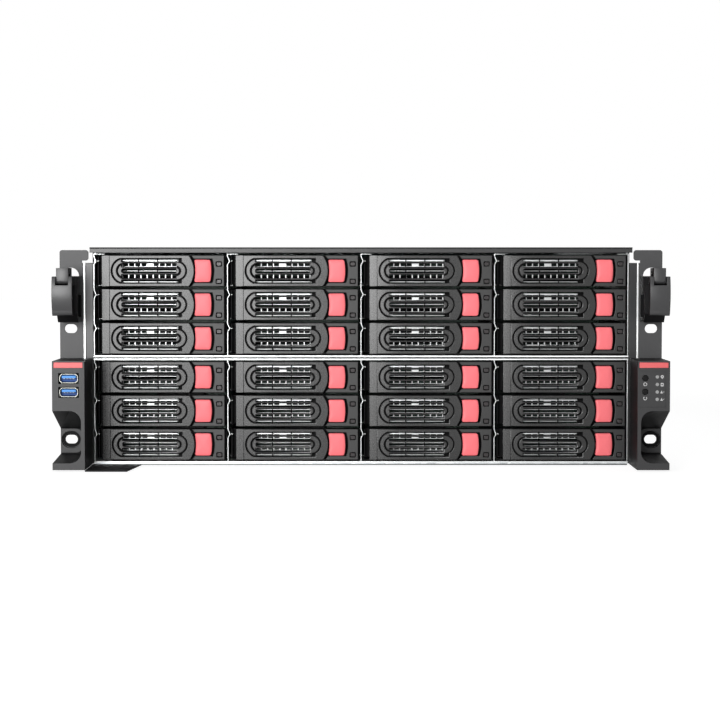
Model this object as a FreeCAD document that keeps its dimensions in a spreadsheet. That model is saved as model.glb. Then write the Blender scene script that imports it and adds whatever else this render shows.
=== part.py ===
import FreeCAD, Part
import math
import operator
import os

import Sketcher

# Rackmount server chassis, four rack units high, with hot-swap drive trays in front.
# X runs to the right seen from the front, Y to the rear, Z up, all in millimetres.
# The origin is under the middle of the chassis. The rack plane, which is the front of the
# ears, is at y = rack_y, and every piece is drawn with that plane at y = 0 and then moved.

doc = FreeCAD.newDocument("rackmount_server_chassis")
sheet = doc.addObject("Spreadsheet::Sheet", "sizes")
X_AXIS = FreeCAD.Vector(1, 0, 0)
Y_AXIS = FreeCAD.Vector(0, 1, 0)
Z_AXIS = FreeCAD.Vector(0, 0, 1)


class Size:
    """A length that remembers the sheet formula it comes from."""

    def __init__(self, value, text):
        self.value = value
        self.text = text

    def joined(self, other, sign, work, swapped=False):
        left, right = self, as_size(other)
        if swapped:
            left, right = right, left
        return Size(work(left.value, right.value), f"({left.text} {sign} {right.text})")

    def __add__(self, other):
        return self.joined(other, "+", operator.add)

    def __radd__(self, other):
        return self.joined(other, "+", operator.add, swapped=True)

    def __sub__(self, other):
        return self.joined(other, "-", operator.sub)

    def __rsub__(self, other):
        return self.joined(other, "-", operator.sub, swapped=True)

    def __mul__(self, other):
        return self.joined(other, "*", operator.mul)

    def __rmul__(self, other):
        return self.joined(other, "*", operator.mul, swapped=True)

    def __truediv__(self, other):
        return self.joined(other, "/", operator.truediv)

    def __neg__(self):
        return self * -1


def as_size(number):
    return number if isinstance(number, Size) else Size(number, f"({number})")


def largest(first, second):
    return Size(max(first.value, second.value), f"max({first.text}; {second.text})")


size_count = 0


def size(alias, millimetres):
    """Write one driving size into the sheet."""
    global size_count
    size_count += 1
    sheet.set(f"A{size_count}", alias)
    sheet.set(f"B{size_count}", str(millimetres))
    sheet.setAlias(f"B{size_count}", alias)
    return Size(millimetres, f"sizes.{alias}")


# Whole chassis
body_depth = size("body_depth", 650.0)
sheet_wall = size("sheet_wall", 1.2)
fit_gap = size("fit_gap", 0.2)
guard_sheet = size("guard_sheet", 1.2)

# Drive bays
drive_width = size("drive_width", 101.6)
drive_room = size("drive_room", 0.1)
rail_sheet = size("rail_sheet", 1.0)
rail_height = size("rail_height", 23.0)
rib_depth = size("rib_depth", 1.6)
rib_height = size("rib_height", 8.0)
rib_rise = size("rib_rise", 7.3)
ledge_thickness = size("ledge_thickness", 1.0)
row_pitch = size("row_pitch", 27.0)
cage_foot = size("cage_foot", 1.3)
cage_above = size("cage_above", 13.5)
cage_gap = size("cage_gap", 1.2)
cage_base_sheet = size("cage_base_sheet", 0.9)
cage_front = size("cage_front", 1.0)
cage_depth = size("cage_depth", 187.0)
wall_setback = size("wall_setback", 20.0)

# Drive tray, measured from the middle of its bay
tray_short = size("tray_short", 4.0)
tray_bar = size("tray_bar", 4.0)
tray_bar_height = size("tray_bar_height", 5.5)
bezel_left_gap = size("bezel_left_gap", 5.65)
bezel_right_gap = size("bezel_right_gap", 1.85)
bezel_gap = size("bezel_gap", 2.4)
bezel_reach = size("bezel_reach", 3.5)
face_margin = size("face_margin", 9.0)
tray_frame_front = size("tray_frame_front", 4.0)
tray_frame_depth = size("tray_frame_depth", 4.0)
lever_reach = size("lever_reach", 4.5)
lever_thickness = size("lever_thickness", 3.0)
lever_end_radius = size("lever_end_radius", 20.3)
lever_end_bulge = size("lever_end_bulge", 4.1)
face_corner_gap = size("face_corner_gap", 2.0)
vent_start = size("vent_start", 16.1)
vent_length = size("vent_length", 43.2)
vent_height = size("vent_height", 2.6)
vent_pitch = size("vent_pitch", 4.45)
window_margin = size("window_margin", 1.8)
pivot_inset = size("pivot_inset", 3.3)
pivot_y = size("pivot_y", 1.4)
pivot_radius = size("pivot_radius", 1.0)
pivot_clearance = size("pivot_clearance", 0.05)
lug_width = size("lug_width", 3.6)
lug_height = size("lug_height", 12.0)
bracket_height = size("bracket_height", 3.0)
lug_wall = size("lug_wall", 0.5)
button_width = size("button_width", 12.4)
button_height = size("button_height", 17.9)
button_reach = size("button_reach", 5.0)
button_depth = size("button_depth", 6.0)
button_left_radius = size("button_left_radius", 45.0)
button_right_radius = size("button_right_radius", 29.3)
button_room = size("button_room", 0.65)
button_side_room = size("button_side_room", 2.6)

# Backplanes and fans
board_thickness = size("board_thickness", 1.6)
backplane_gap = size("backplane_gap", 2.0)
backplane_margin = size("backplane_margin", 0.6)
connector_width = size("connector_width", 43.0)
connector_height = size("connector_height", 5.5)
connector_depth = size("connector_depth", 8.0)
fan_size = size("fan_size", 120.0)
fan_depth = size("fan_depth", 38.0)
fan_post = size("fan_post", 8.0)
fan_space = size("fan_space", 48.0)
fan_skin = size("fan_skin", 2.5)
fan_hub = size("fan_hub", 21.0)
fan_strut = size("fan_strut", 5.0)
fan_plate = size("fan_plate", 4.0)
fan_rail = size("fan_rail", 3.0)
rotor_gap = size("rotor_gap", 0.8)
blade_gap = size("blade_gap", 3.0)
blade_root = size("blade_root", 12.0)
blade_chord = size("blade_chord", 28.0)
blade_sheet = size("blade_sheet", 1.8)
BLADE_ANGLE = 34

# Top covers and rear panel
cover_room = size("cover_room", 5.3)
cover_skirt = size("cover_skirt", 12.3)
cover_lip = size("cover_lip", 4.4)
cover_seam = size("cover_seam", 0.6)
seam_before_fans = size("seam_before_fans", 5.0)
rear_lip = size("rear_lip", 12.0)
rear_lip_gap = size("rear_lip_gap", 0.3)
port_window_width = size("port_window_width", 158.75)
port_window_height = size("port_window_height", 44.45)
port_window_low = size("port_window_low", 6.0)
slot_pitch = size("slot_pitch", 20.32)
slot_window_width = size("slot_window_width", 13.0)
slot_window_height = size("slot_window_height", 103.0)
slot_window_low = size("slot_window_low", 14.0)
slot_cover_width = size("slot_cover_width", 18.4)
slot_cover_overlap = size("slot_cover_overlap", 4.0)
slot_cover_sheet = size("slot_cover_sheet", 0.9)
supply_width = size("supply_width", 86.0)
supply_height = size("supply_height", 150.0)
supply_inset = size("supply_inset", 8.0)
supply_low = size("supply_low", 12.0)
rear_vent_width = size("rear_vent_width", 7.0)
rear_vent_height = size("rear_vent_height", 84.0)
rear_vent_pitch = size("rear_vent_pitch", 15.0)
rear_vent_rise = size("rear_vent_rise", 13.0)

# Board stand-offs, on the outer holes of the common grid of a full-size board
hole_grid_x = size("hole_grid_x", 281.94)
hole_grid_y = size("hole_grid_y", 227.33)
board_side_gap = size("board_side_gap", 25.0)
board_rear_gap = size("board_rear_gap", 13.4)
standoff_height = size("standoff_height", 6.5)
standoff_radius = size("standoff_radius", 2.9)
standoff_bore = size("standoff_bore", 1.25)

# Rack ears, counted inwards from their outer edges and up from the pan's underside
ear_stand = size("ear_stand", 25.3)
ear_width = size("ear_width", 19.0)
ear_sheet = size("ear_sheet", 2.0)
ear_drop = size("ear_drop", 2.2)
ear_tab_height = size("ear_tab_height", 8.4)
ear_tab_reach = size("ear_tab_reach", 4.0)
ear_notch = size("ear_notch", 1.9)
ear_corner = size("ear_corner", 2.2)
ear_leg = size("ear_leg", 60.0)
slot_inset = size("slot_inset", 8.75)
slot_low = size("slot_low", 20.0)
slot_rise = size("slot_rise", 88.9)
slot_length = size("slot_length", 10.0)
slot_width = size("slot_width", 7.1)
ear_hole_radius = size("ear_hole_radius", 6.75)
ear_hole_rise = size("ear_hole_rise", 151.0)
plate_sheet = size("plate_sheet", 1.2)
plate_front = size("plate_front", 0.5)

# Quick latch on the upper ear, counted from its hinge pin
latch_inset = size("latch_inset", 1.8)
latch_width = size("latch_width", 16.0)
latch_depth = size("latch_depth", 30.0)
latch_chamfer = size("latch_chamfer", 7.0)
latch_above = size("latch_above", 3.1)
latch_below = size("latch_below", 33.3)
latch_pocket = size("latch_pocket", 12.0)
latch_pocket_height = size("latch_pocket_height", 18.0)
latch_pocket_wall = size("latch_pocket_wall", 4.0)
flip_inset = size("flip_inset", 0.3)
flip_width = size("flip_width", 15.8)
flip_pivot_reach = size("flip_pivot_reach", 40.5)
flip_pivot_rise = size("flip_pivot_rise", 147.9)
flip_pin = size("flip_pin", 1.5)
flip_drop = size("flip_drop", 27.6)
flip_front = size("flip_front", 4.5)
flip_bow = size("flip_bow", 38.0)
flip_wall = size("flip_wall", 3.5)
flip_toe = size("flip_toe", 3.6)
flip_heel = size("flip_heel", 7.5)
flip_cheek = size("flip_cheek", 4.0)
flip_notch = size("flip_notch", 3.7)
flip_side_gap = size("flip_side_gap", 0.3)
strap_width = size("strap_width", 9.4)
strap_side = size("strap_side", 3.2)
strap_rise = size("strap_rise", 9.7)
strap_thickness = size("strap_thickness", 4.6)

# Ear covers, with drops measured from their top
ear_cover_inset = size("ear_cover_inset", 0.5)
ear_cover_width = size("ear_cover_width", 25.2)
ear_cover_height = size("ear_cover_height", 85.2)
ear_cover_reach = size("ear_cover_reach", 49.0)
ear_cover_wall = size("ear_cover_wall", 2.8)
scoop_low = size("scoop_low", 5.3)
scoop_rise = size("scoop_rise", 3.4)
scoop_drop = size("scoop_drop", 38.9)
scoop_back_drop = size("scoop_back_drop", 56.2)
scoop_corner = size("scoop_corner", 9.0)
scoop_floor = size("scoop_floor", 3.0)
screw_room_length = size("screw_room_length", 15.0)
screw_room_width = size("screw_room_width", 13.4)
strip_width = size("strip_width", 22.6)
strip_height = size("strip_height", 4.3)
strip_depth = size("strip_depth", 1.0)
strip_top_gap = size("strip_top_gap", 1.0)
board_foot = size("board_foot", 1.0)

# USB sockets, left
usb_inset = size("usb_inset", 13.5)
usb_drop = size("usb_drop", 13.5)
usb_pitch = size("usb_pitch", 10.8)
usb_window_width = size("usb_window_width", 16.1)
usb_window_height = size("usb_window_height", 8.6)
usb_shell_width = size("usb_shell_width", 14.5)
usb_shell_height = size("usb_shell_height", 7.3)
usb_shell_sheet = size("usb_shell_sheet", 0.6)
usb_shell_corner = size("usb_shell_corner", 1.7)
usb_shell_length = size("usb_shell_length", 16.0)
usb_tongue_height = size("usb_tongue_height", 1.9)

# Control panel, right
panel_inset = size("panel_inset", 14.9)
panel_width = size("panel_width", 22.2)
panel_drop = size("panel_drop", 7.7)
panel_height = size("panel_height", 28.4)
panel_sink = size("panel_sink", 0.6)
push_inset = size("push_inset", 19.8)
push_drop = size("push_drop", 13.3)
push_pitch = size("push_pitch", 10.6)
push_radius = size("push_radius", 2.2)
push_gap = size("push_gap", 0.3)
push_length = size("push_length", 7.0)
control_setback = size("control_setback", 14.0)
control_margin = size("control_margin", 1.0)

# Guard plate under the left front edge
guard_width = size("guard_width", 39.0)
guard_reach = size("guard_reach", 50.0)
guard_slant = size("guard_slant", 6.0)
guard_tail = size("guard_tail", 18.0)
doc.recompute()

# Places that follow from the sizes
rail_gap = fit_gap * 1.5
column_pitch = (drive_width + drive_room + rail_sheet * 2 + rib_depth
                + fit_gap + rail_gap + sheet_wall)
bay_half = (column_pitch - sheet_wall) / 2
half_apron = column_pitch * 2 + sheet_wall / 2
half_body = half_apron + fit_gap + sheet_wall
half_rack = half_body + ear_stand
slot_x = half_rack - slot_inset
cover_inner = half_rack - ear_cover_inset - ear_cover_width
floor_z = guard_sheet
floor_top = floor_z + sheet_wall
cage_below = rail_height / 2 + fit_gap + ledge_thickness + cage_foot
cage_step = cage_below + cage_above + sheet_wall * 2 + cage_gap
lowest_row = floor_top + cage_base_sheet + cage_below
lid_z = lowest_row + row_pitch * 4 + cage_step + cage_above + cover_room
wall_top = lid_z - sheet_wall - fit_gap / 2
ear_top = lid_z - ear_drop
tray_length = cage_depth + cage_front - tray_short
backplane_y = cage_front + cage_depth + backplane_gap
fan_front = cage_front + cage_depth + fan_space
front_cover_depth = fan_front - seam_before_fans
tail_end = body_depth + rear_lip_gap + sheet_wall
rack_y = (largest(guard_reach, ear_cover_reach) - tail_end) / 2


def bind(item, place, value):
    item.setExpression(place, as_size(value).text)


def move(item, x, y, z):
    for axis, value in zip("xyz", (x, y, z)):
        bind(item, f"Placement.Base.{axis}", value)


def box(name, low, lengths):
    """A block from its low corner and its three lengths."""
    item = doc.addObject("Part::Box", name)
    for side, value in zip(("Length", "Width", "Height"), lengths):
        bind(item, side, value)
    move(item, *low)
    return item


def rod(name, start, radius, length, axis):
    """A round bar that starts at a point and runs along plus X, Y or Z."""
    item = doc.addObject("Part::Cylinder", name)
    turns = {"X": (Y_AXIS, 90), "Y": (X_AXIS, -90), "Z": (Z_AXIS, 0)}
    item.Placement = FreeCAD.Placement(FreeCAD.Vector(), FreeCAD.Rotation(*turns[axis]))
    bind(item, "Radius", radius)
    bind(item, "Height", length)
    move(item, *start)
    return item


def draw_edge(sketch, start, end, bend):
    """One edge of an outline: straight, or an arc that turns left or right with its radius."""
    first = FreeCAD.Vector(as_size(start[0]).value, as_size(start[1]).value, 0)
    last = FreeCAD.Vector(as_size(end[0]).value, as_size(end[1]).value, 0)
    if not bend:
        return sketch.addGeometry(Part.LineSegment(first, last), False), 1, 2
    turn, radius = bend
    chord = last - first
    reach = math.sqrt(max(as_size(radius).value ** 2 - chord.Length ** 2 / 4, 0))
    side = 1 if turn == "left" else -1
    left_hand = FreeCAD.Vector(-chord.y, chord.x, 0).normalize()
    centre = (first + last) / 2 + left_hand * reach * side
    angles = [math.atan2(point.y - centre.y, point.x - centre.x) for point in (first, last)][::side]
    circle = Part.Circle(centre, Z_AXIS, as_size(radius).value)
    edge = sketch.addGeometry(Part.ArcOfCircle(circle, angles[0], angles[1]), False)
    return (edge, 1, 2) if side == 1 else (edge, 2, 1)


def draw(sketch, outline):
    """A closed outline with each corner tied to the sheet."""
    ends = [(*point[:2], point[2:]) for point in outline]
    edges = []
    for here, following in zip(ends, ends[1:] + ends[:1]):
        edges.append(draw_edge(sketch, here, following, here[2]))
    for number, (edge, start, _) in enumerate(edges):
        before, _, before_end = edges[number - 1]
        sketch.addConstraint(Sketcher.Constraint("Coincident", before, before_end, edge, start))
    for (edge, start, _), (x, y, bend) in zip(edges, ends):
        for kind, value in (("DistanceX", x), ("DistanceY", y)):
            tie = Sketcher.Constraint(kind, -1, 1, edge, start, as_size(value).value)
            bind(sketch, f"Constraints[{sketch.addConstraint(tie)}]", value)
        if bend:
            tie = Sketcher.Constraint("Radius", edge, as_size(bend[1]).value)
            bind(sketch, f"Constraints[{sketch.addConstraint(tie)}]", bend[1])


def sketch_in(body, name, plane, offset, outlines):
    """A sketch on one of the body's own planes, moved along X, Y or Z."""
    sketch = body.newObject("Sketcher::SketchObject", name)
    support = next(item for item in body.Origin.OriginFeatures if item.Role == f"{plane}_Plane")
    sketch.AttachmentSupport = [(support, "")]
    sketch.MapMode = "FlatFace"
    bind(sketch, "AttachmentOffset.Base.z", -as_size(offset) if plane == "XZ" else offset)
    for outline in outlines:
        draw(sketch, outline)
    return sketch


def extrude(name, plane, start, length, *outlines):
    """A body padded from closed outlines on one plane towards plus X, Y or Z."""
    body = doc.addObject("PartDesign::Body", name)
    pad = body.newObject("PartDesign::Pad", f"{name}_pad")
    pad.Profile = sketch_in(body, f"{name}_outline", plane, start, outlines)
    pad.Reversed = plane == "XZ"
    bind(pad, "Length", length)
    body.Tip = pad
    return body


def group(name, *items):
    """Separate solids kept side by side."""
    item = doc.addObject("Part::Compound", name)
    item.Links = list(items)
    return item


def cut(name, base, *tools):
    item = doc.addObject("Part::Cut", name)
    item.Base = base
    item.Tool = tools[0] if len(tools) == 1 else group(f"{name}_tools", *tools)
    return item


def fuse(name, *items):
    item = doc.addObject("Part::MultiFuse", name)
    item.Shapes = list(items)
    item.Refine = True
    return item


def common(name, first, second):
    item = doc.addObject("Part::Common", name)
    item.Base = first
    item.Tool = second
    return item


def mirrored(name, source):
    """The right-hand twin of a left-hand piece."""
    item = doc.addObject("Part::Mirroring", name)
    item.Source = source
    item.Normal = X_AXIS
    return item


def rectangle(x_low, x_high, z_low, z_high):
    return [(x_low, z_low), (x_high, z_low), (x_high, z_high), (x_low, z_high)]


def oblong(name, x, y, z, length, width, depth):
    """A slot with round ends, long side along X, cut through along Y."""
    reach = (length - width) / 2
    ends = [rod(f"{name}_end_{side}", (x + reach * side, y, z), width / 2, depth, "Y") for side in (-1, 1)]
    middle = box(f"{name}_middle", (x - reach, y, z - width / 2), (reach * 2, depth, width))
    return fuse(name, middle, *ends)


nodes = []


def node(label, *pieces, x=0, z=0):
    """A finished sub-part: its solids, its name and its place in the chassis."""
    item = group(label, *pieces)
    item.Label = label
    move(item, x, rack_y, z)
    nodes.append(item)


def chassis_pan():
    """Floor and side walls, one sheet bent to a U, with the floor running on to the front edge."""
    inside = half_body - sheet_wall
    profile = [
        (-half_body, floor_z), (half_body, floor_z), (half_body, wall_top), (inside, wall_top),
        (inside, floor_top), (-inside, floor_top), (-inside, wall_top), (-half_body, wall_top),
    ]
    bent = extrude("pan_bend", "XZ", wall_setback, body_depth - wall_setback, profile)
    apron = box("pan_apron", (-half_apron, cage_front, floor_z),
                (half_apron * 2, wall_setback - cage_front, sheet_wall))
    node("chassis_pan", fuse("pan_sheet", bent, apron))


def divider(name, ribs, left_ledge, right_ledge):
    """A formed cage divider, with z counted from the middle of its lowest row."""
    half = sheet_wall / 2
    low = -cage_below
    high = row_pitch * 2 + cage_above
    right, left = [(half, low)], [(-half, low)]
    for row in range(3):
        middle = row_pitch * row
        shelf = middle - rail_height / 2 - fit_gap
        for side, line, width in ((1, right, right_ledge), (-1, left, left_ledge)):
            if width:
                edge = half * side
                out = (half + width) * side
                line += [(edge, shelf - ledge_thickness), (out, shelf), (edge, shelf)]
            if ribs:
                edge = half * side
                crown = middle + rib_rise
                line += [
                    (edge, crown - rib_height / 2), (edge + rib_depth, crown), (edge, crown + rib_height / 2),
                ]
    right.append((half, high))
    left.append((-half, high))
    return extrude(name, "XZ", cage_front, cage_depth, right + left[::-1])


def row_height(row):
    """Middle of a row of trays, with row 1 at the top as in use and row 6 at the bottom."""
    step = cage_step - row_pitch if row <= 3 else 0
    return lowest_row + row_pitch * (6 - row) + step


def column_middle(column):
    return column_pitch * (column - 2.5)


def drive_cages():
    left_reach = rib_depth + fit_gap + rail_sheet * 0.8
    right_reach = rail_gap + rail_sheet
    first = divider("first_divider", True, 0, left_reach)
    inner = divider("inner_divider", True, right_reach, left_reach)
    last = divider("last_divider", False, right_reach, 0)
    walls = {-2: first, -1: inner, 0: inner, 1: inner, 2: last}
    sheets = {
        "upper_drive_cage": [("floor", row_height(3) - cage_below - sheet_wall, sheet_wall)],
        "lower_drive_cage": [("floor", floor_top, cage_base_sheet),
                             ("roof", row_height(4) + cage_above, sheet_wall)],
    }
    for name, low_row in (("upper_drive_cage", 3), ("lower_drive_cage", 6)):
        pieces = []
        for place, height, thickness in sheets[name]:
            pieces.append(box(f"{name}_{place}", (-half_apron, cage_front, height),
                              (half_apron * 2, cage_depth, thickness)))
        for place, wall in walls.items():
            copy = group(f"{name}_divider_{place + 3}", wall)
            move(copy, column_pitch * place, 0, row_height(low_row))
            pieces.append(copy)
        node(name, *pieces)


def tray_pieces():
    """Solids of one tray, drawn about the middle of its bay."""
    left = -bay_half + bezel_left_gap
    right = bay_half - bezel_right_gap
    half = (row_pitch - bezel_gap) / 2
    rail_left = -bay_half + rib_depth + fit_gap
    drive_left = rail_left + rail_sheet
    drive_right = drive_left + drive_width + drive_room
    vent_left = left + vent_start
    vent_right = vent_left + vent_length
    room = vent_height / 2
    grille_high = vent_pitch * 2 + window_margin

    # Front frame between the rails, open behind the grille
    window = rectangle(vent_left - window_margin, vent_right + window_margin, -grille_high, grille_high)
    frame = extrude("tray_frame", "XZ", tray_frame_front, tray_frame_depth,
                    rectangle(drive_left, drive_right, -half, half), window)

    # Fixed right-hand face round the button
    pocket_right = right - face_margin
    tip = pocket_right - button_side_room - button_width
    corner = tip - lever_end_bulge
    face_start = corner + face_corner_gap
    pocket_high = button_height / 2 + button_room
    outline = [
        (face_start, half), (tip, pocket_high), (pocket_right, pocket_high), (pocket_right, -pocket_high),
        (tip, -pocket_high), (face_start, -half), (right, -half), (right, half),
    ]
    face = extrude("tray_face", "XZ", -bezel_reach, bezel_reach + tray_frame_front, outline)
    front = fuse("tray_front", frame, face)

    # Two brackets with the pin that carries the lever
    pivot_x = left + pivot_inset
    bracket_y = pivot_y - pivot_radius - lug_wall
    bracket_low = lug_height / 2 + fit_gap
    brackets = []
    for side, low in (("upper", bracket_low), ("lower", -bracket_low - bracket_height)):
        brackets.append(box(f"{side}_bracket", (pivot_x - lug_width / 2, bracket_y, low),
                            (lug_width, tray_frame_front - bracket_y, bracket_height)))
    pin_reach = bracket_low + bracket_height / 2
    pin = rod("lever_pin", (pivot_x, pivot_y, -pin_reach), pivot_radius, pin_reach * 2, "Z")
    hinged_front = fuse("hinged_tray_front", front, *brackets, pin)

    # Rails for the drive and the bar that joins them at the rear
    rails = []
    for side, start in (("left", rail_left), ("right", drive_right)):
        rails.append(box(f"{side}_rail", (start, tray_frame_front, -rail_height / 2),
                         (rail_sheet, tray_length - tray_frame_front, rail_height)))
    bar = box("tray_bar", (drive_left, tray_length - tray_bar, -rail_height / 2),
              (drive_right - drive_left, tray_bar, tray_bar_height))

    # Pull lever with its grille
    outline = [(left, -half), (corner, -half, "left", lever_end_radius), (corner, half), (left, half)]
    slots = []
    for step in range(-2, 3):
        middle = vent_pitch * step
        slots.append(rectangle(vent_left, vent_right, middle - room, middle + room))
    lever = extrude("lever_plate", "XZ", -lever_reach, lever_thickness, outline, *slots)
    lug_back = pivot_y + pivot_radius + pivot_clearance + lug_wall
    lever_back = lever_thickness - lever_reach
    lug = box("lever_lug", (pivot_x - lug_width / 2, lever_back, -lug_height / 2),
              (lug_width, lug_back - lever_back, lug_height))
    hole = rod("lever_hole", (pivot_x, pivot_y, -half), pivot_radius + pivot_clearance, half * 2, "Z")
    hinged_lever = cut("hinged_lever", fuse("lever_with_lug", lever, lug), hole)

    # Release button, hollow on the side of the lever's round end
    end = tip + button_width
    rise = button_height / 2
    outline = [
        (tip, -rise), (end, -rise, "left", button_right_radius), (end, rise),
        (tip, rise, "right", button_left_radius),
    ]
    button = extrude("release_button", "XZ", -button_reach, button_depth, outline)
    carrier = [*rails, bar]
    return carrier, front, hinged_front, lever, hinged_lever, button


def drive_trays():
    """Trays of the top row have lever and button as pieces of their own."""
    carrier, front, hinged_front, lever, hinged_lever, button = tray_pieces()
    for row in range(1, 7):
        for column in range(1, 5):
            place = {"x": column_middle(column), "z": row_height(row)}
            name = f"r{row}_c{column}"
            if row == 1:
                node(f"tray_{name}", hinged_front, *carrier, **place)
                node(f"tray_lever_{name}", hinged_lever, **place)
                node(f"tray_button_{name}", button, **place)
            else:
                node(f"tray_{name}", front, *carrier, lever, button, **place)


def backplanes():
    """One upright board behind each row, with a connector for each drive."""
    pieces = []
    height = row_pitch - backplane_margin
    for row in range(1, 7):
        middle = row_height(row)
        pieces.append(box(f"backplane_{row}", (-half_apron, backplane_y, middle - height / 2),
                          (half_apron * 2, board_thickness, height)))
        for column in range(1, 5):
            low = (column_middle(column) - connector_width / 2, backplane_y - connector_depth,
                   middle - connector_height / 2)
            pieces.append(box(f"connector_{row}_{column}", low,
                              (connector_width, connector_depth, connector_height)))
    node("backplanes", *pieces)


fan_names = ("left", "middle", "right")


def fan_middle(number):
    return (fan_size + fan_post) * (number - 1), floor_top + fan_rail + fan_size / 2


def fan_wall():
    """Posts between the fans on a bottom rail, under a top rail."""
    inside = half_body - sheet_wall - fit_gap
    low = floor_top
    high = floor_top + fan_rail + fan_size
    rails = [box(f"fan_rail_{name}", (-inside, fan_front, height), (inside * 2, fan_depth, fan_rail))
             for name, height in (("bottom", low), ("top", high))]
    edges = [-inside]
    for number in range(3):
        middle, _ = fan_middle(number)
        edges += [middle - fan_size / 2, middle + fan_size / 2]
    edges.append(inside)
    posts = []
    for number in range(4):
        left, right = edges[number * 2:number * 2 + 2]
        posts.append(box(f"fan_post_{number + 1}", (left, fan_front, low + fan_rail),
                         (right - left, fan_depth, fan_size)))
    node("fan_wall", *rails, *posts)


def fan_frame():
    """Square fan housing, and behind it the motor plate on its two crossed struts."""
    half = fan_size / 2
    back = fan_depth - fan_plate
    shell = cut("fan_shell", box("fan_block", (-half, 0, -half), (fan_size, back, fan_size)),
                rod("fan_tunnel", (0, 0, 0), half - fan_skin, back, "Y"))
    plate = doc.addObject("Part::Prism", "motor_plate")
    plate.Polygon = 8
    plate.Placement = FreeCAD.Placement(FreeCAD.Vector(), FreeCAD.Rotation(X_AXIS, -90))
    bind(plate, "Circumradius", fan_hub)
    bind(plate, "Height", fan_plate)
    move(plate, 0, back, 0)
    struts = []
    for turn in (45, 135):
        strut = box(f"fan_strut_{turn}", (0, 0, 0), (fan_size, fan_plate, fan_strut))
        spin = FreeCAD.Rotation(Y_AXIS, turn)
        strut.Placement = FreeCAD.Placement(FreeCAD.Vector(), spin)
        along = spin.multVec(X_AXIS)
        across = spin.multVec(Z_AXIS)
        move(strut, -half * along.x - fan_strut / 2 * across.x, back,
             -half * along.z - fan_strut / 2 * across.z)
        struts.append(strut)
    return group("fan_frame", shell, fuse("fan_spider", plate, *struts))


def fan_rotor():
    """Hub with seven slanted blades that widen outwards, drawn with the shaft along Z."""
    body = doc.addObject("PartDesign::Body", "fan_rotor")
    support = {item.Role: item for item in body.Origin.OriginFeatures}
    length = fan_depth - fan_plate - rotor_gap * 2
    rim = sketch_in(body, "rotor_hub_outline", "XY", 0, [])
    ring = rim.addGeometry(Part.Circle(FreeCAD.Vector(), Z_AXIS, fan_hub.value), False)
    rim.addConstraint(Sketcher.Constraint("Coincident", ring, 3, -1, 1))
    tie = rim.addConstraint(Sketcher.Constraint("Radius", ring, fan_hub.value))
    bind(rim, f"Constraints[{tie}]", fan_hub)
    hub = body.newObject("PartDesign::Pad", "rotor_hub")
    hub.Profile = rim
    bind(hub, "Length", length)
    root = fan_hub * 0.9
    tip = fan_size / 2 - fan_skin - blade_gap
    plan = [
        (root, -blade_root / 2), (tip, -blade_chord / 2), (tip, blade_chord / 2), (root, blade_root / 2),
    ]
    slanted = sketch_in(body, "blade_plan", "XY", length / 2, [plan])
    slanted.AttachmentOffset = FreeCAD.Placement(slanted.AttachmentOffset.Base,
                                                 FreeCAD.Rotation(X_AXIS, BLADE_ANGLE))
    blade = body.newObject("PartDesign::Pad", "rotor_blade")
    blade.Profile = slanted
    bind(blade, "Length", blade_sheet)
    doc.recompute()
    blades = body.newObject("PartDesign::PolarPattern", "rotor_blades")
    blades.Originals = [blade]
    blades.Axis = (support["Z_Axis"], [""])
    blades.Angle = 360
    blades.Occurrences = 7
    body.Tip = blades
    return body


def fans():
    frame = fan_frame()
    rotor = fan_rotor()
    frames = []
    for number, name in enumerate(fan_names):
        x, z = fan_middle(number)
        copy = group(f"fan_frame_{name}", frame)
        move(copy, x, fan_front, z)
        frames.append(copy)
        turned = group(f"turned_rotor_{name}", rotor)
        turned.Placement = FreeCAD.Placement(FreeCAD.Vector(), FreeCAD.Rotation(X_AXIS, -90))
        move(turned, 0, fan_front + rotor_gap, 0)
        node(f"fan_rotor_{name}", turned, x=x, z=z)
    node("fan_frames", *frames)


def rear_panel():
    """Rear sheet with the board's openings, and the blank slot covers inside it."""
    inside = half_body - sheet_wall
    face = body_depth - sheet_wall
    slots_left = -inside + board_side_gap - slot_pitch / 4
    port_left = slots_left + slot_pitch * 7
    port_middle = port_left + port_window_width / 2
    port_top = floor_z + port_window_low + port_window_height

    def window(name, left, low, width, height):
        return box(name, (left, face, low), (width, sheet_wall, height))

    windows = [
        window("port_window", port_left, floor_z + port_window_low, port_window_width, port_window_height),
        window("supply_window", inside - supply_inset - supply_width, floor_z + supply_low,
               supply_width, supply_height),
    ]
    covers = []
    low = floor_z + slot_window_low
    high = low + slot_window_height + slot_cover_overlap
    for number in range(7):
        middle = slots_left + slot_pitch * (number + 0.5)
        windows.append(window(f"slot_window_{number + 1}", middle - slot_window_width / 2, low,
                              slot_window_width, slot_window_height))
        left = middle - slot_cover_width / 2
        plate = box(f"slot_plate_{number + 1}", (left, face - slot_cover_sheet, low - slot_cover_overlap),
                    (slot_cover_width, slot_cover_sheet, high - low + slot_cover_overlap))
        foot = box(f"slot_foot_{number + 1}",
                   (left, face - slot_cover_sheet - slot_cover_overlap * 2, high - slot_cover_sheet),
                   (slot_cover_width, slot_cover_overlap * 2, slot_cover_sheet))
        covers.append(fuse(f"slot_cover_{number + 1}", plate, foot))
    vents = 10
    for number in range(vents):
        middle = port_middle + rear_vent_pitch * (number - (vents - 1) / 2)
        windows.append(window(f"rear_vent_{number + 1}", middle - rear_vent_width / 2,
                              port_top + rear_vent_rise, rear_vent_width, rear_vent_height))
    blank = box("rear_blank", (-inside, face, floor_top), (inside * 2, sheet_wall, wall_top - floor_top))
    node("rear_panel", cut("rear_sheet", blank, *windows))
    node("slot_covers", *covers)


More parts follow.
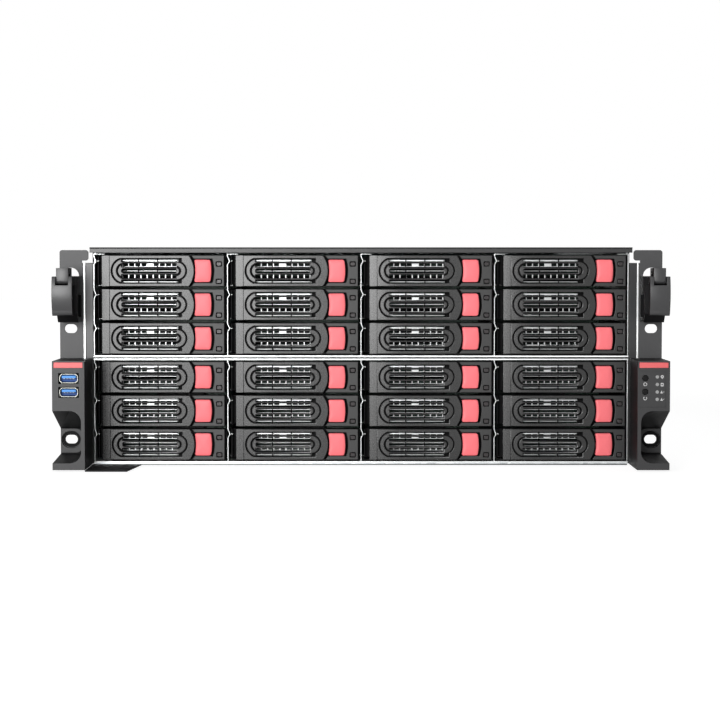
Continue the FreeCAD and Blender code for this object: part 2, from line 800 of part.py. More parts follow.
def board_standoffs():
    """Hexagonal threaded posts on the board's hole grid."""
    first_x = -half_body + sheet_wall + board_side_gap
    last_y = body_depth - sheet_wall - board_rear_gap
    post = doc.addObject("Part::Prism", "standoff_post")
    post.Polygon = 6
    bind(post, "Circumradius", standoff_radius)
    bind(post, "Height", standoff_height)
    drilled = cut("standoff", post, rod("standoff_thread", (0, 0, 0), standoff_bore, standoff_height, "Z"))
    posts = []
    for x in (0, hole_grid_x):
        for y in (hole_grid_y, 0):
            copy = group(f"standoff_{len(posts) + 1}", drilled)
            move(copy, first_x + x, last_y - y, floor_top)
            posts.append(copy)
    node("board_standoffs", *posts)


def top_covers():
    """Fixed front cover with its folded lip, and the rear cover that slides off backwards."""
    half = half_body + fit_gap + sheet_wall
    skirt = lid_z - cover_skirt
    inner = half - sheet_wall
    under = lid_z - sheet_wall
    channel = [
        (-half, skirt), (-inner, skirt), (-inner, under), (inner, under),
        (inner, skirt), (half, skirt), (half, lid_z), (-half, lid_z),
    ]
    bend = extrude("front_cover_bend", "XZ", wall_setback, front_cover_depth - wall_setback, channel)
    nose = box("front_cover_nose", (-half, 0, under), (half * 2, wall_setback, sheet_wall))
    lip = box("front_cover_lip", (-half_apron, 0, lid_z - cover_lip), (half_apron * 2, sheet_wall, cover_lip))
    node("front_cover", fuse("front_cover_sheet", bend, nose, lip))
    start = front_cover_depth + cover_seam
    end = tail_end - sheet_wall
    slide = extrude("top_cover_bend", "XZ", start, end - start, channel)
    tail = box("top_cover_tail", (-half, end, lid_z - rear_lip), (half * 2, sheet_wall, rear_lip))
    node("top_cover", fuse("top_cover_sheet", slide, tail))


def rack_ears():
    """Bent ear with slots and round hole, side plate and spacer bar, left and mirrored right."""
    outer = -half_rack
    bend = outer + ear_width
    notch_low = ear_top - ear_tab_height - ear_notch
    tab_low = notch_low + ear_notch
    low = floor_z + fit_gap
    tab_in = bend + ear_tab_reach
    corner = ear_corner
    outline = [
        (outer, low), (bend, low), (bend, notch_low), (bend - sheet_wall, notch_low),
        (bend - sheet_wall, tab_low), (tab_in - corner, tab_low, "left", corner), (tab_in, tab_low + corner),
        (tab_in, ear_top - corner, "left", corner), (tab_in - corner, ear_top),
        (outer + corner, ear_top, "left", corner), (outer, ear_top - corner),
    ]
    flange = extrude("ear_flange", "XZ", 0, ear_sheet, outline)
    leg = box("ear_leg", (bend - ear_sheet, ear_sheet, low),
              (ear_sheet, ear_leg - ear_sheet, notch_low - low))
    holes = [oblong(f"rack_slot_{name}", -slot_x, 0, floor_z + height, slot_length, slot_width, ear_sheet)
             for name, height in (("low", slot_low), ("high", slot_low + slot_rise))]
    holes.append(rod("latch_hole", (-slot_x, 0, floor_z + ear_hole_rise), ear_hole_radius, ear_sheet, "Y"))
    left = cut("left_ear_sheet", fuse("left_ear_bend", flange, leg), *holes)
    node("left_rack_ear", left)
    node("right_rack_ear", mirrored("right_ear_sheet", left))

    plate = box("left_plate", (bend, plate_front, low), (plate_sheet, ear_leg - plate_front, notch_low - low))
    bar_out = bend + plate_sheet
    bar_in = -half_body
    front_in = -half_apron - fit_gap
    bar_outline = [
        (bar_out, ear_sheet), (front_in, ear_sheet), (front_in, wall_setback - fit_gap),
        (bar_in, wall_setback - fit_gap), (bar_in, ear_leg), (bar_out, ear_leg),
    ]
    bar = extrude("left_bar", "XY", low, lid_z - cover_skirt - fit_gap - low, bar_outline)
    node("side_plates", plate, bar, mirrored("right_plate", plate), mirrored("right_bar", bar))


def rack_latches():
    """Latch base with its strap and hinge pin, and the flip lever that hangs on the pin."""
    axis_y = -flip_pivot_reach
    axis_z = floor_z + flip_pivot_rise
    low = axis_z - latch_below
    high = axis_z + latch_above
    nose = latch_chamfer - latch_depth
    block = extrude("latch_block", "YZ", latch_inset - half_rack, latch_width, [
        (0, low), (0, high), (nose, high), (-latch_depth, high - latch_chamfer),
        (-latch_depth, low + latch_chamfer), (nose, low),
    ])
    strap_high = axis_z + strap_rise
    strap_low = strap_high - strap_thickness
    strap_front = axis_y - strap_side
    strap_back = axis_y + strap_side / 2
    flip_x = flip_inset - half_rack
    strap_x = flip_x + (flip_width - strap_width) / 2
    strap = extrude("latch_strap", "YZ", strap_x, strap_width, [
        (nose, high), (nose, strap_high), (strap_front, strap_high),
        (strap_front, axis_z, "left", strap_side), (axis_y, axis_z - strap_side),
        (strap_back, axis_z - strap_side / 2), (strap_back, strap_low),
        (-latch_depth - strap_side, strap_low), (-latch_depth, high - latch_chamfer),
    ])
    pin = rod("latch_pin", (flip_x + fit_gap, axis_y, axis_z), flip_pin, flip_width - fit_gap * 2, "X")
    pocket_x = latch_inset - half_rack + latch_width - latch_pocket
    pocket_run = latch_depth - latch_chamfer - latch_pocket_wall
    pocket = box("latch_pocket_room", (pocket_x, nose, low + latch_pocket_wall),
                 (latch_pocket, pocket_run, latch_pocket_height))
    base = fuse("left_latch_base", cut("latch_housing", block, pocket), strap, pin)
    node("latch_bases", base, mirrored("right_latch_base", base))

    front = axis_y - flip_front
    bottom = axis_z - flip_drop
    back = axis_y + flip_cheek
    inner = front + flip_wall
    cheek_low = axis_z - flip_cheek
    plate = extrude("flip_plate", "YZ", flip_x, flip_width, [
        (back, high), (front, high, "left", flip_bow), (front, bottom + flip_toe, "left", flip_toe),
        (front + flip_toe, bottom), (front + flip_heel, bottom), (inner, bottom + flip_heel),
        (inner, cheek_low), (back, cheek_low),
    ])
    notch = box("flip_notch_room", (strap_x - flip_side_gap, front - flip_bow / 4, axis_z - flip_notch),
                (strap_width + flip_side_gap * 2, flip_bow / 2, latch_above + flip_notch))
    hole = rod("flip_hole", (flip_x, axis_y, axis_z), flip_pin + pivot_clearance, flip_width, "X")
    lever = cut("left_flip", plate, notch, hole)
    node("left_latch_lever", lever)
    node("right_latch_lever", mirrored("right_flip", lever))


def ear_covers():
    """Moulded covers with the finger recess, their trim, sockets and controls."""
    outer = -cover_inner - ear_cover_width
    inner = -cover_inner
    front = -ear_cover_reach
    top = floor_z + ear_cover_height
    low = floor_z + scoop_low
    high = top - scoop_drop
    cavity_low = high + ear_cover_wall
    board_low = cavity_low + board_foot
    scoop_in = inner - ear_cover_wall
    beyond = outer - ear_cover_wall
    block = extrude("cover_block", "XZ", front, ear_cover_reach, rectangle(outer, inner, floor_z, top))
    corner = scoop_corner
    mouth = extrude("scoop_mouth", "XZ", front, ear_cover_reach, [
        (beyond, low), (scoop_in - corner, low, "left", corner), (scoop_in, low + corner),
        (scoop_in, high - corner, "left", corner), (scoop_in - corner, high), (beyond, high),
    ])
    ramp = extrude("scoop_ramp", "YZ", beyond, ear_cover_width + ear_cover_wall, [
        (front, low), (-scoop_floor, low + scoop_rise), (-scoop_floor, top - scoop_back_drop), (front, high),
    ])
    screw_room = oblong("screw_room", -slot_x, -scoop_floor, floor_z + slot_low, screw_room_length,
                        screw_room_width, scoop_floor)
    cavity = extrude("cover_cavity", "XZ", front + ear_cover_wall, ear_cover_reach - ear_cover_wall,
                     rectangle(outer + ear_cover_wall, inner - ear_cover_wall,
                               cavity_low, top - ear_cover_wall))
    strip_x = (outer + inner) / 2 - strip_width / 2
    strip_z = top - strip_top_gap - strip_height
    strip = box("left_strip", (strip_x, front, strip_z), (strip_width, strip_depth, strip_height))
    shell = cut("cover_shell", block, common("scoop", mouth, ramp), screw_room, cavity, strip)
    node("accent_strips", strip, mirrored("right_strip", strip))

    # Left cover: two sockets on their board
    usb_middle = usb_inset - half_rack
    windows = []
    sockets = []
    for number in range(2):
        middle = top - usb_drop - usb_pitch * number
        half = usb_window_width / 2
        rise = usb_window_height / 2
        windows.append(box(f"usb_window_{number + 1}", (usb_middle - half, front, middle - rise),
                           (usb_window_width, ear_cover_wall, usb_window_height)))
        sockets += usb_socket(number + 1, usb_middle, front, middle)
    board_high = top - usb_drop + usb_window_height / 2
    board = box("usb_board", (usb_middle - usb_window_width / 2, front + usb_shell_length, board_low),
                (usb_window_width, board_thickness, board_high - board_low))
    node("usb_ports", *sockets, board)
    node("left_ear_cover", cut("left_cover", shell, *windows))

    # Right cover: sunk panel with two push buttons on their board
    panel_left = half_rack - panel_inset - panel_width / 2
    panel_high = top - panel_drop
    holes = [box("sunk_panel", (panel_left, front, panel_high - panel_height),
                 (panel_width, panel_sink, panel_height))]
    face = front + panel_sink
    depth = ear_cover_wall - panel_sink
    push_x = half_rack - push_inset
    pushes = []
    for number in range(2):
        middle = top - push_drop - push_pitch * number
        holes.append(rod(f"push_hole_{number + 1}", (push_x, face, middle),
                         push_radius + push_gap, depth, "Y"))
        pushes.append(rod(f"push_{number + 1}", (push_x, face - panel_sink / 2, middle),
                          push_radius, push_length, "Y"))
    rim = ear_cover_wall + control_margin
    control = box("control_plate", (-inner + rim, front + control_setback, board_low),
                  (ear_cover_width - rim * 2, board_thickness, panel_high - board_low))
    node("control_board", control)
    node("power_button", pushes[0])
    node("reset_button", pushes[1])
    node("right_ear_cover", cut("right_cover", mirrored("right_shell", shell), *holes))


def usb_socket(number, x, front, middle):
    """Steel shell with cut corners and the tongue under its roof."""
    shells = []
    for inset in (0, usb_shell_sheet):
        half = usb_shell_width / 2 - inset
        rise = usb_shell_height / 2 - inset
        corner = usb_shell_corner - inset * 0.4
        shells.append([
            (x - half + corner, middle - rise), (x + half - corner, middle - rise),
            (x + half, middle - rise + corner), (x + half, middle + rise - corner),
            (x + half - corner, middle + rise), (x - half + corner, middle + rise),
            (x - half, middle + rise - corner), (x - half, middle - rise + corner),
        ])
    shell = extrude(f"usb_shell_{number}", "XZ", front, usb_shell_length, *shells)
    room = usb_shell_width / 2 - usb_shell_corner
    roof = middle + usb_shell_height / 2 - usb_shell_sheet
    tongue = box(f"usb_tongue_{number}", (x - room, front + usb_shell_sheet, roof - usb_tongue_height),
                 (room * 2, usb_shell_length - usb_shell_sheet, usb_tongue_height))
    return [shell, tongue]


def guard_plate():
    """Flat plate screwed under the left front edge, reaching forward beside the ear cover."""
    left = -cover_inner
    right = left + guard_width
    outline = [
        (left, -guard_reach), (right - guard_slant, -guard_reach), (right, cage_front),
        (right, guard_tail), (left, guard_tail),
    ]
    node("guard_plate", extrude("guard_sheet_plate", "XY", 0, guard_sheet, outline))


chassis_pan()
drive_cages()
drive_trays()
backplanes()
fan_wall()
fans()
rear_panel()
board_standoffs()
top_covers()
rack_ears()
rack_latches()
ear_covers()
guard_plate()
doc.recompute()

faults = [item.Name for item in doc.Objects if {"Invalid", "Error"} & set(item.State)]
for item in nodes:
    if item.Shape.isNull() or not item.Shape.isValid() or not item.Shape.Solids:
        faults.append(item.Label)
if faults:
    raise SystemExit(f"not built: {faults}")
os.makedirs("parts", exist_ok=True)
for item in nodes:
    item.Shape.exportStep(f"parts/{item.Label}.step")
print(len(nodes), "sub-parts written")
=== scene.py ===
from math import asin, cos, degrees, pi, radians, sin, sqrt

import bmesh
import bpy
from mathutils import Matrix, Vector


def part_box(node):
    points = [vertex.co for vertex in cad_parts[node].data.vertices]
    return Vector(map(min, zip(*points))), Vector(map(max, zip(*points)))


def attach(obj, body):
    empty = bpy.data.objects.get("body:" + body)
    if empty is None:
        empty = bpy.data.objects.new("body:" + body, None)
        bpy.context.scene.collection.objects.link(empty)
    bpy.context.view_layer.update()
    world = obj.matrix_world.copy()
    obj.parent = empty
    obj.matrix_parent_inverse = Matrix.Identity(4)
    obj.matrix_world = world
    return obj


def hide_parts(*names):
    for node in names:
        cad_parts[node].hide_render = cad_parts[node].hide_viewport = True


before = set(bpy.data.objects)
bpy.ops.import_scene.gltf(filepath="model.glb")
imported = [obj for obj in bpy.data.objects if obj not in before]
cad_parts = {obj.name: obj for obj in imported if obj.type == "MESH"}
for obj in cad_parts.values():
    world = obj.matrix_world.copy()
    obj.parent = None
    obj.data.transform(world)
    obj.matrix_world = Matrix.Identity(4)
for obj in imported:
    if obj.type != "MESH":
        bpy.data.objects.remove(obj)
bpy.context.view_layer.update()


# Chassis pan, rear panel and slot covers: the fixed body of the chassis.
# Cold-rolled sheet about 1.2 mm thick, hot-dip galvanised, punched and bent, riveted at the corners.

def srgb(code):
    """Linear colour of an sRGB hex value."""
    levels = [value / 255 for value in bytes.fromhex(code)]
    return tuple(v / 12.92 if v < 0.04 else ((v + 0.055) / 1.055) ** 2.4 for v in levels) + (1.0,)


def add_node(tree, kind, settings, *links):
    """Adds a shader node; settings are its options and sockets, links are (socket, node, output)."""
    made = tree.nodes.new("ShaderNode" + kind)
    for key, value in settings.items():
        if isinstance(key, int) or key in made.inputs:
            made.inputs[key].default_value = value
        else:
            setattr(made, key, value)
    for socket, source, output in links:
        tree.links.new(source.outputs[output], made.inputs[socket])
    return made


def finish(name, **sockets):
    """A new material with constant sockets; gives its tree, its shader and its place in millimetres."""
    material = bpy.data.materials.new(name)
    material.use_nodes = True
    tree = material.node_tree
    shader = tree.nodes["Principled BSDF"]
    for socket, value in sockets.items():
        shader.inputs[socket.replace("_", " ")].default_value = value
    where = add_node(tree, "TexCoord", {})
    place = add_node(tree, "Mapping", {"Scale": (1000, 1000, 1000)}, ("Vector", where, "Object"))
    return material, tree, shader, place


def two_tone(tree, shader, dark, light, mask, output):
    """Colours a shader between two tones; 6 and 7 are the colour inputs of the mix, 2 its colour output."""
    tone = add_node(tree, "Mix", {"data_type": "RGBA", 6: srgb(dark), 7: srgb(light)}, (0, mask, output))
    tree.links.new(tone.outputs[2], shader.inputs["Base Color"])


# Galvanised sheet: grey zinc crystals a few millimetres across, each turned its own way, so that
# neighbouring patches differ a little in tone and gloss.
SPANGLE = 6.0
galvanised, tree, shader, place = finish("galvanised_steel_sheet", Metallic=1.0)
crystal = add_node(tree, "TexVoronoi", {"Scale": 1 / SPANGLE}, ("Vector", place, "Vector"))
patch = add_node(tree, "SeparateColor", {}, ("Color", crystal, "Color"))
two_tone(tree, shader, "b4b8ba", "cdd0d1", patch, "Red")
gloss = add_node(tree, "MapRange", {"To Min": 0.3, "To Max": 0.46}, ("Value", patch, "Green"))
dust = add_node(tree, "TexNoise", {"Scale": 1 / 1.5, "Detail": 3.0}, ("Vector", place, "Vector"))
skin = add_node(tree, "Bump", {"Strength": 0.06, "Distance": 0.0003}, ("Height", dust, "Fac"))
tree.links.new(gloss.outputs["Result"], shader.inputs["Roughness"])
tree.links.new(skin.outputs["Normal"], shader.inputs["Normal"])


def paint(material, *nodes):
    """Gives solids of the frame their finish."""
    for name in nodes:
        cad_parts[name].material_slots[0].material = material


paint(galvanised, "chassis_pan", "rear_panel", "slot_covers")


# Stand-offs for the main board: small round posts pressed into the pan.
# Turned from brass bar and tapped.

# Turned brass: warm yellow metal with fine tool rings along the post.
TOOL_RING = 0.4
brass, tree, shader, place = finish("turned_brass", Metallic=1.0, Roughness=0.28)
rings = add_node(tree, "TexWave", {"bands_direction": "Z", "Scale": 1 / TOOL_RING, "Distortion": 0.4},
                 ("Vector", place, "Vector"))
two_tone(tree, shader, "c29a48", "d6b468", rings, "Fac")
paint(brass, "board_standoffs")


# Drive cages: formed dividers with guide ribs, spot-welded to a bottom and a top sheet.
# Thin zinc-coated sheet, with bare sheared edges to the front.

# Zinc coat: metal whose fine drawn grain only softens what it mirrors.
ZINC_GRAIN = 1.4


def zinc_sheet(name, dark, light):
    """Zinc-coated sheet with a fine grain."""
    zinc, tree, shader, place = finish(name, Metallic=1.0)
    drawn = add_node(tree, "TexNoise", {"Scale": 1 / ZINC_GRAIN, "Detail": 2.0}, ("Vector", place, "Vector"))
    two_tone(tree, shader, dark, light, drawn, "Fac")
    gloss = add_node(tree, "MapRange", {"To Min": 0.3, "To Max": 0.45}, ("Value", drawn, "Fac"))
    tree.links.new(gloss.outputs["Result"], shader.inputs["Roughness"])
    return zinc


# Fresh zinc coat: nearly white.
bright_zinc = zinc_sheet("bright_zinc_sheet", "e2e4e4", "f2f3f2")
# Sheared sheet: a little greyer than the coat, since bare steel shows at the cut edges.
cut_zinc = zinc_sheet("cut_zinc_sheet", "c6c8c8", "d6d8d8")


def islands(mesh):
    """The separate solids of a mesh, each as a list of its faces, in the mesh's own order."""
    left = set(mesh.faces)
    for first in mesh.faces:
        if first not in left:
            continue
        left.discard(first)
        group = [first]
        for face in group:
            for edge in face.edges:
                for other in edge.link_faces:
                    if edge.is_manifold and other in left:
                        left.discard(other)
                        group.append(other)
        yield group


def piece_from(mesh, name, material, body, slot, *nodes, location=(0, 0, 0)):
    """A piece of the object that rides on a body and stands for the nodes."""
    piece = bpy.data.objects.new(name, mesh)
    piece.location = location
    bpy.context.scene.collection.objects.link(piece)
    if not mesh.materials:
        mesh.materials.append(material)
    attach(piece, body)
    if nodes:
        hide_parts(*nodes)
    return piece


FLAT, SHARP = radians(1), radians(32)


def mesh_data(name, mesh):
    """Turns a bmesh into mesh data, with its sharp edges and its flat faces kept."""
    bmesh.ops.recalc_face_normals(mesh, faces=mesh.faces)
    smooth = [face.smooth for face in mesh.faces]
    data = bpy.data.meshes.new(name)
    mesh.to_mesh(data)
    mesh.free()
    data.set_sharp_from_angle(angle=SHARP)
    data.polygons.foreach_set("use_smooth", smooth)
    return data


def rounded_copy(node, name, rounding, keep=None, segments=2):
    """Mesh of a solid of the frame with its edges rounded, or of the pieces of it that keep picks."""
    mesh = bmesh.new()
    mesh.from_mesh(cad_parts[node].data)
    bmesh.ops.remove_doubles(mesh, verts=mesh.verts, dist=1e-6)
    if keep:
        for group in list(islands(mesh)):
            if not keep([point.co for face in group for point in face.verts]):
                bmesh.ops.delete(mesh, geom=group, context="FACES")
    bmesh.ops.dissolve_limit(mesh, angle_limit=FLAT, verts=mesh.verts, edges=mesh.edges)
    for face in mesh.faces:
        face.smooth = any(edge.is_manifold and FLAT < edge.calc_face_angle() < SHARP for edge in face.edges)
    sharp = [edge for edge in mesh.edges if edge.is_manifold and edge.calc_face_angle() > SHARP]
    made = bmesh.ops.bevel(mesh, geom=sharp, offset=rounding / 1000, segments=segments, profile=0.5,
                           affect="EDGES", clamp_overlap=True)
    for face in made["faces"]:
        face.smooth = True
    return mesh_data(name, mesh)


def width_along(points, axis):
    """Extent of some points along an axis."""
    places = [point[axis] for point in points]
    return max(places) - min(places)


WHOLE_WIDTH = 0.2


def is_flat_sheet(points):
    """Whether a piece spans the chassis; the dividers and the connectors are far narrower."""
    return width_along(points, 0) > WHOLE_WIDTH


def box_loop(left, right, low, high):
    """Outline of a rectangle."""
    return [(left, low), (right, low), (right, high), (left, high)]


def plate(loops, front, back, edge):
    """A flat piece with holes cut from its first loop, its edges rounded, standing upright to the front."""
    curve = bpy.data.curves.new("plate", "CURVE")
    curve.dimensions = "2D"
    curve.fill_mode = "BOTH"
    curve.extrude = (back - front) / 2 - edge
    curve.bevel_depth = edge
    curve.bevel_resolution = 1
    curve.offset = -edge
    for loop in loops:
        line = curve.splines.new("POLY")
        line.points.add(len(loop) - 1)
        for point, (x, z) in zip(line.points, loop):
            point.co = (x, z, 0, 1)
        line.use_cyclic_u = True
    holder = bpy.data.objects.new("plate", curve)
    data = bpy.data.meshes.new_from_object(holder)
    bpy.data.objects.remove(holder)
    bpy.data.curves.remove(curve)
    data.transform(Matrix.Translation((0, (front + back) / 2, 0)) @ Matrix.Rotation(pi / 2, 4, "X"))
    return data


FACE_ON = 0.99


def joined(name, parts, reshape=None):
    """One mesh in metres from several made in millimetres, flat in front and soft round the edges."""
    mesh = bmesh.new()
    for part in parts:
        mesh.from_mesh(part)
        bpy.data.meshes.remove(part)
    bmesh.ops.remove_doubles(mesh, verts=mesh.verts, dist=1e-4)
    if reshape:
        reshape(mesh)
    bmesh.ops.scale(mesh, vec=(0.001, 0.001, 0.001), verts=mesh.verts)
    mesh.normal_update()
    for face in mesh.faces:
        face.smooth = abs(face.normal.y) < FACE_ON
    return mesh_data(name, mesh)


def bent_sheet(path, thickness):
    """Outline of a sheet that follows a path upwards, each point as (sideways, up)."""
    half = thickness / 2
    return [(x + half, z) for x, z in path] + [(x - half, z) for x, z in reversed(path)]


PITCH, ROW_MIDDLES = 107.0, {"upper": (102.4, 129.4, 156.4), "lower": (17.3, 44.3, 71.3)}
DIVIDER_SHEET, DIVIDER_LOW, DIVIDER_HIGH = 0.55, -14.0, 13.5
KINK_LOW, KINK_TIP, KINK_HIGH, KINK_OUT = 5.0, 7.8, 11.6, 1.7
LEDGE_LEVEL, LEDGE_SLOPE, LEDGE_RIGHT, LEDGE_LEFT = -11.8, 1.0, 3.0, 1.9
CAGE_FRONT, CAGE_BACK, LEDGE_FRONT = 1.0, 188.0, 30.0
FLANGE_REACH, FLANGE_SHEET = 8.5, 0.35
SHEET_EDGE, LEDGE_EDGE = 0.1, 0.05
rack_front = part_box("left_rack_ear")[0].y
for name, rows in ROW_MIDDLES.items():
    node = name + "_drive_cage"
    flat = rounded_copy(node, f"{name}_cage_sheets", SHEET_EDGE, is_flat_sheet)
    sheet = bright_zinc if name == "upper" else cut_zinc
    piece_from(flat, f"{name}_cage_sheets", sheet, "chassis", "galvanised_steel", node)
    walls = []
    for place in range(-2, 3):
        middle = PITCH * place
        path = [(middle, rows[0] + DIVIDER_LOW)]
        for z in rows:
            if place < 2:
                path += [(middle, z + KINK_LOW), (middle + KINK_OUT, z + KINK_TIP), (middle, z + KINK_HIGH)]
            for out, wanted in ((LEDGE_RIGHT, place < 2), (-LEDGE_LEFT, place > -2)):
                if wanted:
                    shelf = z + LEDGE_LEVEL
                    ledge = [(middle, shelf - LEDGE_SLOPE), (middle + out, shelf), (middle, shelf)]
                    walls.append(plate([ledge], LEDGE_FRONT, CAGE_BACK, LEDGE_EDGE))
        path.append((middle, rows[-1] + DIVIDER_HIGH))
        walls.append(plate([bent_sheet(path, DIVIDER_SHEET)], CAGE_FRONT, CAGE_BACK, SHEET_EDGE))
        if name == "upper":
            end = middle + FLANGE_REACH * (1 if place < 2 else -1)
            top = rows[-1] + DIVIDER_HIGH
            walls.append(plate([box_loop(min(middle, end), max(middle, end), top - FLANGE_SHEET, top)],
                               CAGE_FRONT, CAGE_BACK, SHEET_EDGE))
    piece_from(joined(f"{name}_cage_dividers", walls), f"{name}_cage_dividers", cut_zinc, "chassis",
               "galvanised_steel", node, location=(0, rack_front, 0))


# Backplanes: one upright board behind each row of trays, with a black connector for each drive.
# Glass-fibre board with green solder mask, and connectors moulded from black nylon.

# Solder mask over copper tracks: semi-gloss green with slightly raised darker and lighter runs.
TRACK = 2.4
board_green, tree, shader, place = finish("green_solder_mask", Roughness=0.38)
axes = add_node(tree, "SeparateXYZ", {}, ("Vector", place, "Vector"))
upright = add_node(tree, "CombineXYZ", {}, ("X", axes, "X"), ("Y", axes, "Z"))
tracks = add_node(tree, "TexBrick", {"Scale": 1 / TRACK, "Mortar Size": 0.12, "Mortar Smooth": 0.3,
                                     "Color1": srgb("12402a"), "Color2": srgb("154830"),
                                     "Mortar": srgb("0c3121")}, ("Vector", upright, "Vector"))
relief = add_node(tree, "Bump", {"Strength": 0.3, "Distance": 0.0001, "invert": True},
                  ("Height", tracks, "Fac"))
tree.links.new(tracks.outputs["Color"], shader.inputs["Base Color"])
tree.links.new(relief.outputs["Normal"], shader.inputs["Normal"])
paint(board_green, "control_board")

# Black nylon with short glass fibres: dark, satin, faintly mottled.
NYLON_MOTTLE = 0.9
black_nylon, tree, shader, place = finish("black_nylon", Roughness=0.5, Specular_IOR_Level=0.3)
mottle = add_node(tree, "TexNoise", {"Scale": 1 / NYLON_MOTTLE, "Detail": 4.0}, ("Vector", place, "Vector"))
two_tone(tree, shader, "1a1a1b", "272728", mottle, "Fac")


def is_connector(points):
    return not is_flat_sheet(points)


for name, rounding, test, material, slot in (
    ("backplane_boards", 0.15, is_flat_sheet, board_green, "circuit_board"),
    ("drive_connectors", 0.4, is_connector, black_nylon, "black_plastic"),
):
    board = rounded_copy("backplanes", name, rounding, test)
    piece_from(board, name, material, "chassis", slot, "backplanes")


# Fan wall with three fans: a frame of posts and rails that the fans push into.
# Painted sheet for the wall, glass-filled nylon for the fan housings and rotors.

# Powder coat: baked polymer paint with the fine orange-peel grain that breaks up its reflections.
# The real grain is about 0.4 mm, drawn at 0.9 mm so that it shows.
PAINT_GRAIN, GLOSS_SPREAD = 0.9, 0.06


def powder_coat(name, dark, light, rough, shine):
    """Baked powder paint on sheet metal."""
    coat, tree, shader, place = finish(name, Specular_IOR_Level=shine)
    grain = add_node(tree, "TexNoise", {"Scale": 1 / PAINT_GRAIN, "Detail": 3.0, "Roughness": 0.6},
                     ("Vector", place, "Vector"))
    two_tone(tree, shader, dark, light, grain, "Fac")
    peel = add_node(tree, "Bump", {"Strength": 0.15, "Distance": 0.0002}, ("Height", grain, "Fac"))
    gloss = add_node(tree, "MapRange", {"To Min": rough - GLOSS_SPREAD, "To Max": rough + GLOSS_SPREAD},
                     ("Value", grain, "Fac"))
    tree.links.new(gloss.outputs["Result"], shader.inputs["Roughness"])
    tree.links.new(peel.outputs["Normal"], shader.inputs["Normal"])
    return coat


# Satin coat: soft wide lights on a nearly black ground.
painted = powder_coat("satin_powder_coat", "222223", "2a2a2b", 0.33, 0.41)
paint(painted, "fan_wall")
paint(black_nylon, "fan_frames", "fan_rotor_left", "fan_rotor_middle", "fan_rotor_right")


# Tray carriers, one in each bay: a front frame, two rails that grip the drive and a rear bar.
# Moulded from black ABS in one piece. Measures are in millimetres from the middle of the bay's front.
BEZEL_HALF = 12.3
FRAME_LEFT, FRAME_RIGHT, FRAME_STEP = -50.1, 51.6, -46.0
FRAME_FRONT, FRAME_BACK = 4.0, 8.0
STEP_FRONT, STEP_BACK = 13.0, 13.9
FRAME_WINDOW = (-33.0, 13.9, -10.7, 10.7)
RAIL, RAIL_HALF, RAIL_START, RAIL_END = 1.0, 11.5, 6.0, 184.0
BAR, BAR_TOP = 4.0, -6.0
FRAME_EDGE = 0.2

carrier_mesh = joined("tray_carrier", [
    plate([box_loop(FRAME_STEP, FRAME_RIGHT, -BEZEL_HALF, BEZEL_HALF), box_loop(*FRAME_WINDOW)],
          FRAME_FRONT, FRAME_BACK, FRAME_EDGE),
    plate([box_loop(FRAME_STEP, FRAME_STEP + RAIL, -RAIL_HALF, RAIL_HALF)],
          FRAME_BACK, STEP_BACK, FRAME_EDGE),
    plate([box_loop(FRAME_LEFT, FRAME_STEP, -RAIL_HALF, RAIL_HALF)], STEP_FRONT, STEP_BACK, FRAME_EDGE),
    plate([box_loop(FRAME_LEFT - RAIL, FRAME_LEFT, -RAIL_HALF, RAIL_HALF)], RAIL_START, RAIL_END, FRAME_EDGE),
    plate([box_loop(FRAME_RIGHT, FRAME_RIGHT + RAIL, -RAIL_HALF, RAIL_HALF)],
          RAIL_START, RAIL_END, FRAME_EDGE),
    plate([box_loop(FRAME_LEFT, FRAME_RIGHT, -RAIL_HALF, BAR_TOP)], RAIL_END - BAR, RAIL_END, FRAME_EDGE),
])

# Moulded ABS with a spark-eroded mould texture: even, satin, with a fine sparkle and no flow lines.
# The real texture is about 0.2 mm, drawn at 0.7 mm so that it shows.
MOULD_TEXTURE, MOULD_CLOUD, TEXTURE_SPREAD = 0.7, 25.0, 0.05


def moulded_plastic(name, dark, light, rough, depth=0.05, shine=0.5):
    """Moulded plastic with a fine mould texture."""
    plastic, tree, shader, place = finish(name, Specular_IOR_Level=shine)
    texture = add_node(tree, "TexNoise", {"Scale": 1 / MOULD_TEXTURE, "Detail": 2.0},
                       ("Vector", place, "Vector"))
    cloud = add_node(tree, "TexNoise", {"Scale": 1 / MOULD_CLOUD, "Detail": 2.0}, ("Vector", place, "Vector"))
    two_tone(tree, shader, dark, light, cloud, "Fac")
    relief = add_node(tree, "Bump", {"Strength": depth, "Distance": 0.0002}, ("Height", texture, "Fac"))
    gloss = add_node(tree, "MapRange", {"To Min": rough - TEXTURE_SPREAD, "To Max": rough + TEXTURE_SPREAD},
                     ("Value", texture, "Fac"))
    tree.links.new(gloss.outputs["Result"], shader.inputs["Roughness"])
    tree.links.new(relief.outputs["Normal"], shader.inputs["Normal"])
    return plastic


# Matt ABS: black, with hardly any shine, darkened as painted shade so that it stays dark in the depth of the
# tray; the same material paints shade on side walls, groove floors and hollows of other mouldings.
black_abs_and_shade = moulded_plastic("matt_black_abs_and_painted_shade", "0c0c0d", "111112", 0.55, shine=0.08)
trays = {}
for row in range(1, 7):
    for column in range(1, 5):
        body = f"tray_r{row}_c{column}"
        low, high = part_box(body)
        spot = (low.x + (RAIL - FRAME_LEFT) / 1000, rack_front, (low.z + high.z) / 2)
        trays[f"r{row}_c{column}"] = spot
        piece_from(carrier_mesh, f"tray_carrier_r{row}_c{column}", black_abs_and_shade, body, "tray_plastic", body,
                   location=spot)


